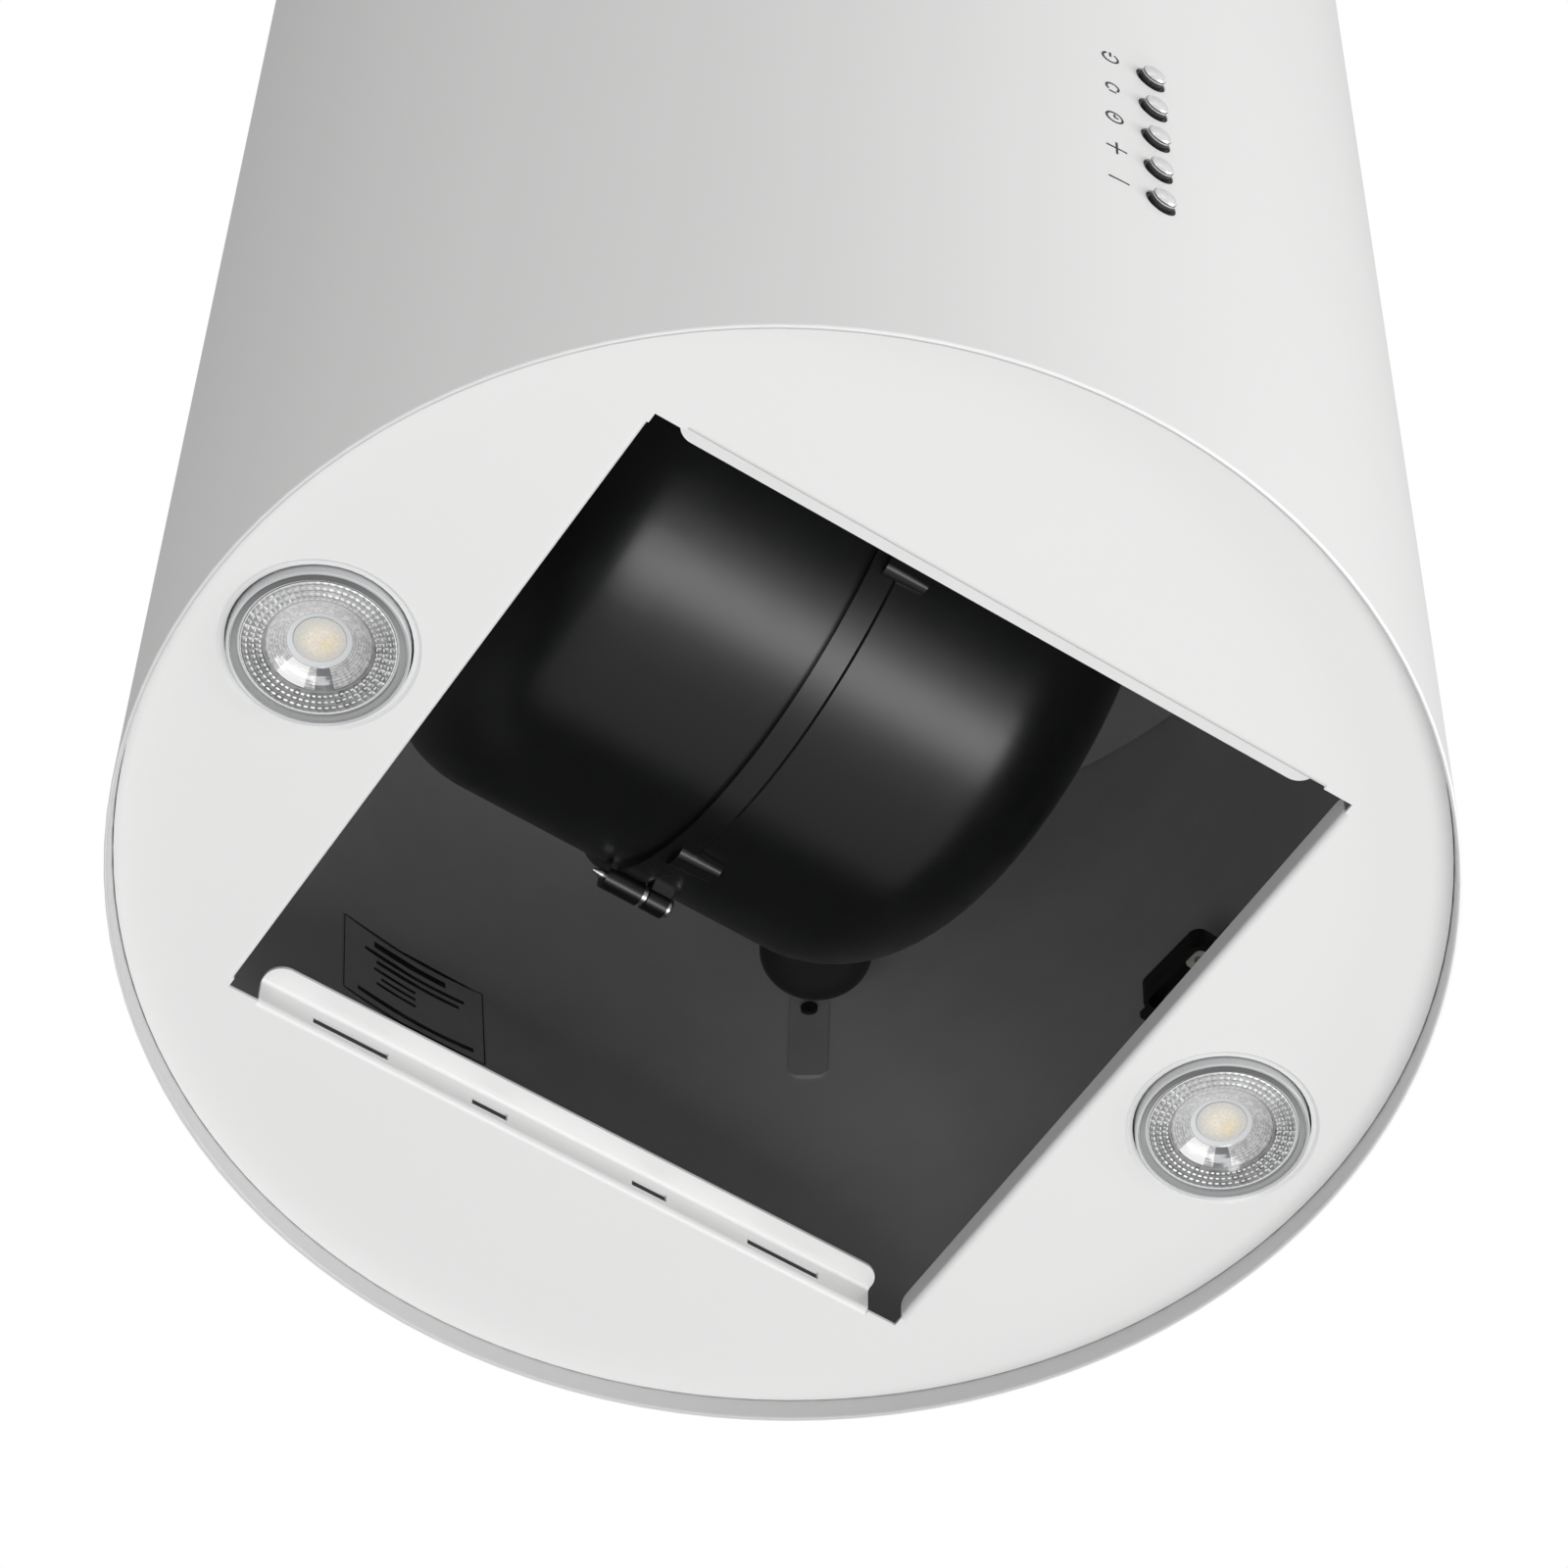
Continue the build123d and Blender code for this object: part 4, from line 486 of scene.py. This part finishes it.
def lens_cup(tree, radius, turn, towards_painted_shading):
    """Sloping cup: a fine net, one painted bright reflection and one dark notch, lighter towards
    the painted shading angle as painted light.
    """
    bright_angle, notch_angle = math.radians(85), math.radians(52)
    bright_tone, notch_tone = (0.90, 0.90, 0.90), (0.16, 0.17, 0.18)
    chance = facet_tone(tree, radius, turn, NET_PITCH, NET_FACETS)
    line = maths(tree, "LESS_THAN", share_of_step(tree, radius, NET_PITCH), 0.3)
    # painted light: lighter towards the painted shading angle
    ground = spread(tree, towards_painted_shading, 0.44, 0.66)
    cup = maths(tree, "ADD", ground, maths(tree, "MULTIPLY", chance, 0.22))
    cup = grey_of(tree, maths(tree, "SUBTRACT", cup, maths(tree, "MULTIPLY", line, 0.16)))
    # painted reflection: a bright band at one angle round the lens
    bright = within_band(tree, maths(tree, "SUBTRACT", turn, bright_angle), -0.15, 0.48)
    notch = within_band(tree, maths(tree, "SUBTRACT", turn, notch_angle), -0.16, 0.22)
    return mix(tree, notch, mix(tree, bright, cup, bright_tone), notch_tone)


def lens_core(tree, radius, turn):
    """Core over the chip, in painted light: pale in the middle, golden towards the right and
    greyer at its edge, with fine dots.
    """
    pale, golden = (0.98, 0.96, 0.93), (0.98, 0.84, 0.60)
    edge_tone, dot_tone = (0.70, 0.70, 0.69), (0.52, 0.50, 0.46)
    fade_start, fade_length = 3.2 * MM, 3.4 * MM
    # painted light: golden towards +X, paler away from it, fading to grey at the core's edge
    warm = mix(tree, spread(tree, maths(tree, "COSINE", turn), 0.5, 1.0), pale, golden)
    edge = maths(tree, "DIVIDE", maths(tree, "SUBTRACT", radius, fade_start), fade_length)
    core = mix(tree, spread(tree, edge, 0.0, 0.85), warm, edge_tone)
    return mix(tree, spread(tree, cells(tree, 0.8 * MM), 0.45, 0.0), core, dot_tone)


def lens_plastic(centre):
    """Moulded lens over its bright faceted cup, in rings round the lamp's centre, with painted
    light and shade that turn with the angle round it.
    """
    grey, ring_grey = (0.62, 0.64, 0.65), (0.74, 0.76, 0.77)
    # painted light and shade: the tones below change with how far a point faces this angle round
    # the lens
    painted_shading_angle = math.radians(235)
    gloss = {"Coat_Weight": 1.0, "Coat_Roughness": 0.03, "Specular_IOR_Level": 0.7}
    material, tree, shader = new_material("lens_plastic", grey, 0.16, **gloss)
    across = maths(tree, "SUBTRACT", axis_part(tree, "X"), centre.x)
    along = maths(tree, "SUBTRACT", axis_part(tree, "Y"), centre.y)
    radius = length_of(tree, across, along)
    turn = maths(tree, "ARCTAN2", along, across)
    towards_painted_shading = maths(tree, "COSINE", maths(tree, "SUBTRACT", turn, painted_shading_angle))
    # painted shade: the outer rim is darker on the side that faces the painted shading angle
    rim_tone = grey_of(tree, spread(tree, towards_painted_shading, 0.34, 0.12))
    rings = [
        (LENS_COLLAR, LENS_ROWS, lens_cup(tree, radius, turn, towards_painted_shading)),
        (LENS_ROWS, LENS_ROWS_END, lens_rows(tree, radius, turn, towards_painted_shading)),
        (LENS_RIM, LENS_RIM_END, rim_tone),
        (0.0, LENS_CORE, lens_core(tree, radius, turn)),
        # painted shade in grey lines at the core's and the collar's edges, a painted highlight
        # on the rows' outer edge, painted shade on the slope into the groove
        (LENS_CORE, LENS_CORE + 0.3 * MM, (0.5, 0.5, 0.5)),
        (LENS_COLLAR - 0.2 * MM, LENS_COLLAR, (0.5, 0.5, 0.5)),
        (LENS_ROWS_END, LENS_ROWS_END + 0.3 * MM, (0.85, 0.85, 0.85)),
        (LENS_ROWS_END + 0.3 * MM, LENS_ROWS_END + 0.5 * MM, (0.3, 0.3, 0.3)),
    ]
    tone = ring_grey
    for low, high, ring_tone in rings:
        tone = mix(tree, within_band(tree, radius, low, high), tone, ring_tone)
    tree.links.new(tone, shader.inputs["Base Color"])
    add_bump(tree, shader, cells(tree, 0.55 * MM), 0.25, 0.08 * MM)
    return material


def led_phosphor():
    """Warm yellow phosphor dome with its fine grid of chips."""
    base = (1.0, 0.86, 0.50)
    glow = {"Emission_Color": (1.0, 0.84, 0.52, 1), "Emission_Strength": 0.55}
    material, tree, shader = new_material("led_phosphor", base, 0.35, **glow)
    grid = cells(tree, 0.9 * MM)
    tone = mix(tree, grid, shade(base, 0.85), (1.0, 0.95, 0.75))
    tree.links.new(tone, shader.inputs["Base Color"])
    add_bump(tree, shader, grid, 0.4, 0.2 * MM)
    return material


def printed_black():
    """Dull black print."""
    return mottled("printed_black", (0.02, 0.02, 0.022), 0.45, 0.5 * MM, 0.7, 1.6)[0]


def label_film():
    """Satin film of the rating label, painted grey as painted shade of the hood's inside."""
    # painted shade: mid grey like the shaded inner wall
    grey = (0.46, 0.465, 0.47)
    material, tree, shader = mottled("label_film", grey, 0.4, 5 * MM, 0.95, 1.06)
    add_bump(tree, shader, noise(tree, 2 * MM), 0.06, 0.03 * MM)
    return material


# ------------------------------------------------------------------------- mesh helpers
def add_mesh(name, vertices, faces, material, smooth=False):
    """Closed mesh object with its normals turned outwards."""
    mesh = bpy.data.meshes.new(name)
    mesh.from_pydata([tuple(v) for v in vertices], [], faces)
    work = bmesh.new()
    work.from_mesh(mesh)
    bmesh.ops.recalc_face_normals(work, faces=work.faces)
    work.to_mesh(mesh)
    work.free()
    piece = bpy.data.objects.new(name, mesh)
    bpy.context.scene.collection.objects.link(piece)
    mesh.materials.append(material)
    for polygon in mesh.polygons:
        polygon.use_smooth = smooth
    return piece


def lathe(rows, steps, height, centre):
    """Vertices and faces of a closed turned body.

    rows are (radius, base height) from the centre of one side to the centre of the other;
    height(row, step) adds relief.
    """
    vertices = []
    loops = []
    for row, (radius, base) in enumerate(rows):
        if radius == 0:
            loops.append([len(vertices)] * steps)
            vertices.append(centre + Vector((0, 0, base)))
            continue
        loops.append(list(range(len(vertices), len(vertices) + steps)))
        for step in range(steps):
            angle = 2 * math.pi * step / steps
            level = base + height(row, step)
            offset = Vector((radius * math.cos(angle), radius * math.sin(angle), level))
            vertices.append(centre + offset)
    faces = []
    for first, second in zip(loops, loops[1:]):
        for step in range(steps):
            after = (step + 1) % steps
            corners = [first[step], first[after], second[after], second[step]]
            face = list(dict.fromkeys(corners))
            if len(face) > 2:
                faces.append(face)
    return vertices, faces


# --------------------------------------------------------------------------------- lamps
LENS_STEPS = 288


def lens_relief(radius, step):
    """Depth of the prisms on the lens: rings of pyramids, and ribs on the outer rim."""
    ring_start, ring_end = 15.8 * MM, 21.5 * MM
    rib_start, ribs = 22.0 * MM, 144
    prism_height, rib_height = 0.40 * MM, 0.10 * MM
    if ring_start <= radius <= ring_end:
        across = ((radius - ring_start) / ROW_PITCH) % 1.0
        along = (step * ROW_FACETS / LENS_STEPS) % 1.0
        return -prism_height * (1 - max(abs(2 * across - 1), abs(2 * along - 1)))
    if radius > rib_start:
        return -rib_height * ((step * ribs / LENS_STEPS) % 1.0)
    return 0.0


def add_lens(side, material):
    """Moulded front of a lamp: a sunk core, a sloping cup, prism rings and a ribbed rim."""
    low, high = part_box(f"{side}_bulb_lens")
    outer = (high.x - low.x) / 2
    centre = Vector(((low.x + high.x) / 2, (low.y + high.y) / 2, 0))
    core, collar, cup = LENS_CORE, 9.1 * MM, 15.7 * MM
    front = low.z + 0.45 * MM
    sunk = front + 4.6 * MM
    back = front + 7.2 * MM
    seat = high.z - 0.1 * MM
    cup_depth, cup_bow, cup_steps = 3.5 * MM, 0.5 * MM, 6
    row_level, row_points = front + 0.6 * MM, 13
    groove_level = front + 0.9 * MM
    flank = outer - 0.1 * MM
    profile = [(0, sunk - 0.3 * MM), (core * 0.6, sunk - 0.2 * MM), (core, sunk)]
    profile += [(core + 0.2 * MM, sunk + 0.3 * MM), (collar - 0.3 * MM, sunk - 0.1 * MM)]
    for part in range(cup_steps + 1):
        share = part / cup_steps
        bow = cup_bow * math.sin(math.pi * share)
        level = sunk - 0.3 * MM - cup_depth * share + bow
        profile.append((collar + (cup - collar) * share, level))
    quarter_row = ROW_PITCH / 4
    rows_start = cup + 0.1 * MM
    profile += [(rows_start + quarter_row * part, row_level) for part in range(row_points)]
    profile += [(21.7 * MM, groove_level), (22.1 * MM, groove_level), (22.4 * MM, front)]
    profile += [(outer - 0.7 * MM, front), (flank, front + 0.5 * MM)]
    profile += [(flank, seat), (cup, seat), (collar, back), (0, back)]
    last = len(profile) - 6

    def height(row, step):
        return lens_relief(profile[row][0], step) if row < last else 0.0

    vertices, faces = lathe(profile, LENS_STEPS, height, centre)
    lens = add_mesh(f"{side}_lens_optic", vertices, faces, material)
    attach(lens, "hood")
    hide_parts(f"{side}_bulb_lens")


def add_reflector(side, material):
    """Faceted metal cup between the lens and the light-emitting chip."""
    lens_low, lens_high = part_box(f"{side}_bulb_lens")
    _, chip_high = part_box(f"{side}_led_chip")
    centre = Vector(((lens_low.x + lens_high.x) / 2, (lens_low.y + lens_high.y) / 2, 0))
    mouth, floor = 16.6 * MM, 7.4 * MM
    bottom, top = lens_high.z + 5.2 * MM, chip_high.z - 0.6 * MM
    sheet = 0.3 * MM
    bands = 6
    facets = 36
    inner = []
    for band in range(bands + 1):
        share = band / bands
        bow = 0.9 * MM * math.sin(math.pi * share)
        inner.append((mouth + (floor - mouth) * share + bow, bottom + (top - bottom) * share))
    outer = [(radius + sheet, level) for radius, level in reversed(inner)]
    ring = inner + outer + [inner[0]]
    vertices, faces = lathe(ring, facets, lambda row, step: 0.0, centre)
    cup = add_mesh(f"{side}_reflector", vertices, faces, material)
    weld(cup)
    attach(cup, "hood")


def weld(piece):
    """Joins vertices that lie on each other."""
    work = bmesh.new()
    work.from_mesh(piece.data)
    bmesh.ops.remove_doubles(work, verts=work.verts, dist=1e-6)
    bmesh.ops.recalc_face_normals(work, faces=work.faces)
    work.to_mesh(piece.data)
    work.free()


# --------------------------------------------------------------------------- flat print
def wrap(points, thickness, radius, middle_angle, level, tilt, outward):
    """Prism of a flat outline wrapped on a cylinder round the hood's axis.

    points are (across, up) in metres; across is measured along the cylinder's face. The
    thickness grows away from the axis where outward is 1, and towards it where it is -1.
    """
    vertices = []
    count = len(points)
    cosine, sine = math.cos(tilt), math.sin(tilt)
    for depth in (0.0, thickness):
        reach = radius + depth * outward
        for across, up in points:
            along = across * cosine - up * sine
            rise = across * sine + up * cosine
            angle = middle_angle + along / radius
            place = (reach * math.cos(angle), reach * math.sin(angle), level + rise)
            vertices.append(Vector(place))
    faces = [list(range(count)), list(range(count, 2 * count))]
    for index in range(count):
        after = (index + 1) % count
        faces.append([index, after, count + after, count + index])
    return vertices, faces


def bar(x0, y0, x1, y1, width):
    """Outline of a straight stroke, with extra points along it so that it can bend."""
    longest = 4 * MM
    steps = max(1, math.ceil(math.hypot(x1 - x0, y1 - y0) / longest))
    along = Vector((x1 - x0, y1 - y0)) / steps
    side = Vector((-along.y, along.x)).normalized() * width / 2
    start = Vector((x0, y0))
    spine = [start + along * step for step in range(steps + 1)]
    return [point + side for point in spine] + [point - side for point in reversed(spine)]


def arc_stroke(radius, start, end, width):
    """Straight strokes that follow an arc round the middle, in degrees."""
    steps = max(3, round(abs(end - start) / 20))
    inner = []
    outer = []
    for step in range(steps + 1):
        angle = math.radians(start + (end - start) * step / steps)
        direction = Vector((math.cos(angle), math.sin(angle)))
        outer.append(direction * (radius + width / 2))
        inner.append(direction * (radius - width / 2))
    return [outer[i:i + 2] + inner[i:i + 2][::-1] for i in range(steps)]


def add_print(name, outlines, place, material):
    """One piece made of printed strokes, at a place as wrap takes it."""
    ink = 0.05 * MM
    vertices = []
    faces = []
    for outline in outlines:
        more, prism = wrap(outline, ink, *place)
        faces += [[index + len(vertices) for index in face] for face in prism]
        vertices += more
    piece = add_mesh(name, vertices, faces, material)
    weld(piece)
    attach(piece, "hood")


def button_signs():
    """Sign drawn left of each button: strokes in metres round the sign's middle."""
    pen = 0.72 * MM
    half = 3.4 * MM
    minus = [bar(-half, 0, half, 0, pen)]
    plus = minus + [bar(0, -half, 0, half, pen)]
    clock = arc_stroke(2.7 * MM, 0, 360, pen)
    clock += [bar(0, 0, 0, 1.7 * MM, pen), bar(0, 0, 1.3 * MM, 0, pen)]
    bulb = arc_stroke(2.1 * MM, -50, 230, pen)
    bulb += [bar(-1.2 * MM, -2.7 * MM, 1.2 * MM, -2.7 * MM, pen)]
    power = arc_stroke(2.6 * MM, 120, 420, pen) + [bar(0, 0.6 * MM, 0, 3.1 * MM, pen)]
    return {
        "button_minus": minus,
        "button_plus": plus,
        "button_timer": clock,
        "button_lamp": bulb,
        "button_power": power,
    }


def add_button_signs(material):
    """Puts each button's sign on the body, left of the button."""
    sign_shift = 14.1 * MM
    front = -math.pi / 2
    for button, outlines in button_signs().items():
        low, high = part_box(button)
        level = (low.z + high.z) / 2
        angle = front + ((low.x + high.x) / 2 - sign_shift) / body_radius
        place = (body_radius, angle, level, 0.0, 1)
        add_print(f"sign_{button}", outlines, place, material)


def add_label_print(material):
    """Border and plain bars of the rating label, with no lettering."""
    low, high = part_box("rating_label")
    angle = math.radians(97.1)
    tilt = math.radians(-6.0)
    width, height = 57.6 * MM, 36.0 * MM
    level = (low.z + high.z) / 2
    radius = body_radius - wall - 0.29 * MM
    edge = 0.7 * MM
    border = 0.45 * MM
    right, top = width / 2 - edge, height / 2 - edge
    outlines = [
        bar(-right, top, right, top, border),
        bar(-right, -top, right, -top, border),
        bar(-right, -top, -right, top, border),
        bar(right, -top, right, top, border),
    ]
    # height above the label's middle, start, end and thickness of each bar, in millimetres
    rows = [
        (13.0, -14.0, 15.0, 2.6),
        (8.6, -21.0, 19.0, 1.5),
        (5.2, -19.0, 14.0, 1.5),
        (1.4, -2.0, 15.0, 1.2),
        (-1.8, -2.0, 12.0, 1.2),
        (-5.0, -2.0, 14.0, 1.2),
        (-12.8, -24.0, 22.0, 1.8),
    ]
    for up, start, end, pen in rows:
        outlines.append(bar(start * MM, up * MM, end * MM, up * MM, pen * MM))
    place = (radius, angle, level, tilt, -1)
    add_print("label_print", outlines, place, material)


# ------------------------------------------------------------------------- materials on
def paint_nodes():
    """Gives every CAD node its procedural material."""
    groups = {
        shell_paint: ["body_shell"],
        white_paint: ["bottom_panel", "upper_sleeve"],
        dark_coat: ["deck", "deck_brackets", "wall_tabs"],
        zinc_sheet: [
            "panel_brackets", "left_lamp_strap", "right_lamp_strap", "lower_frame",
            "upper_frame", "sleeve_grips", "capacitor_clamp", "motor_bracket", "duct_collar",
            "flap_pins",
        ],
        zinc_screw: [
            "panel_nuts", "socket_screws", "module_nuts", "seam_screws", "motor_screws",
            "inlet_screws", "deck_screws", "collar_bolts", "collar_nuts", "foot_bolts",
            "rail_bolts", "impeller_nut",
        ],
        housing_plastic: ["housing_left", "housing_right"],
        black_plastic: [
            "button_frame", "switch_cover", "terminal_box", "cable_gland", "inlet_guard",
            "tact_switches", "capacitor", "flap_back", "flap_front", "tab_rivets",
            "left_lamp_socket", "right_lamp_socket",
        ],
        dark_plastic: ["impeller", "impeller_blades"],
        ceramic: ["terminal_block"],
        circuit_board: ["switch_board"],
        motor_steel: ["motor", "motor_shaft"],
        bulb_plastic: ["left_bulb_body", "right_bulb_body", "left_bulb_lens", "right_bulb_lens"],
        led_phosphor: ["left_led_chip", "right_led_chip"],
        button_metal: list(button_signs()),
        label_film: ["rating_label"],
    }
    painted = set()
    for make, names in groups.items():
        material = make()
        for name in names:
            mesh = nodes[name].data
            mesh.materials.clear()
            mesh.materials.append(material)
            painted.add(name)
    unpainted = sorted(set(nodes) - painted)
    if unpainted:
        raise RuntimeError(f"nodes with no material: {unpainted}")


# ------------------------------------------------------------------------------ assembly
add_camera()
add_world(seen=1.0, lighting=0.47)
add_floor(drop=1.75, reach=14.0)
aim_low = Vector((0.25, 0, 0))
aim_right = Vector((0, 0, 0.3))
aim_front = Vector((0, 0, 0.4))
add_area_light("under_box", rim + Vector((0.25, -0.45, -1.5)), rim + aim_low, 2.4, 0.5, 17)
add_area_light("right_box", rim + Vector((1.9, -1.5, -0.1)), rim + aim_right, 1.4, 1.4, 26)
add_area_light("front_box", rim + Vector((-0.6, -2.4, 0.9)), rim + aim_front, 1.6, 1.6, 16)

paint_nodes()
cup_material = reflector_metal()
for side in ("left", "right"):
    lamp_low, lamp_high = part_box(f"{side}_bulb_lens")
    add_lens(side, lens_plastic((lamp_low + lamp_high) / 2))
    add_reflector(side, cup_material)

print_material = printed_black()
add_button_signs(print_material)
add_label_print(print_material)

bpy.context.scene.view_settings.view_transform = "Standard"
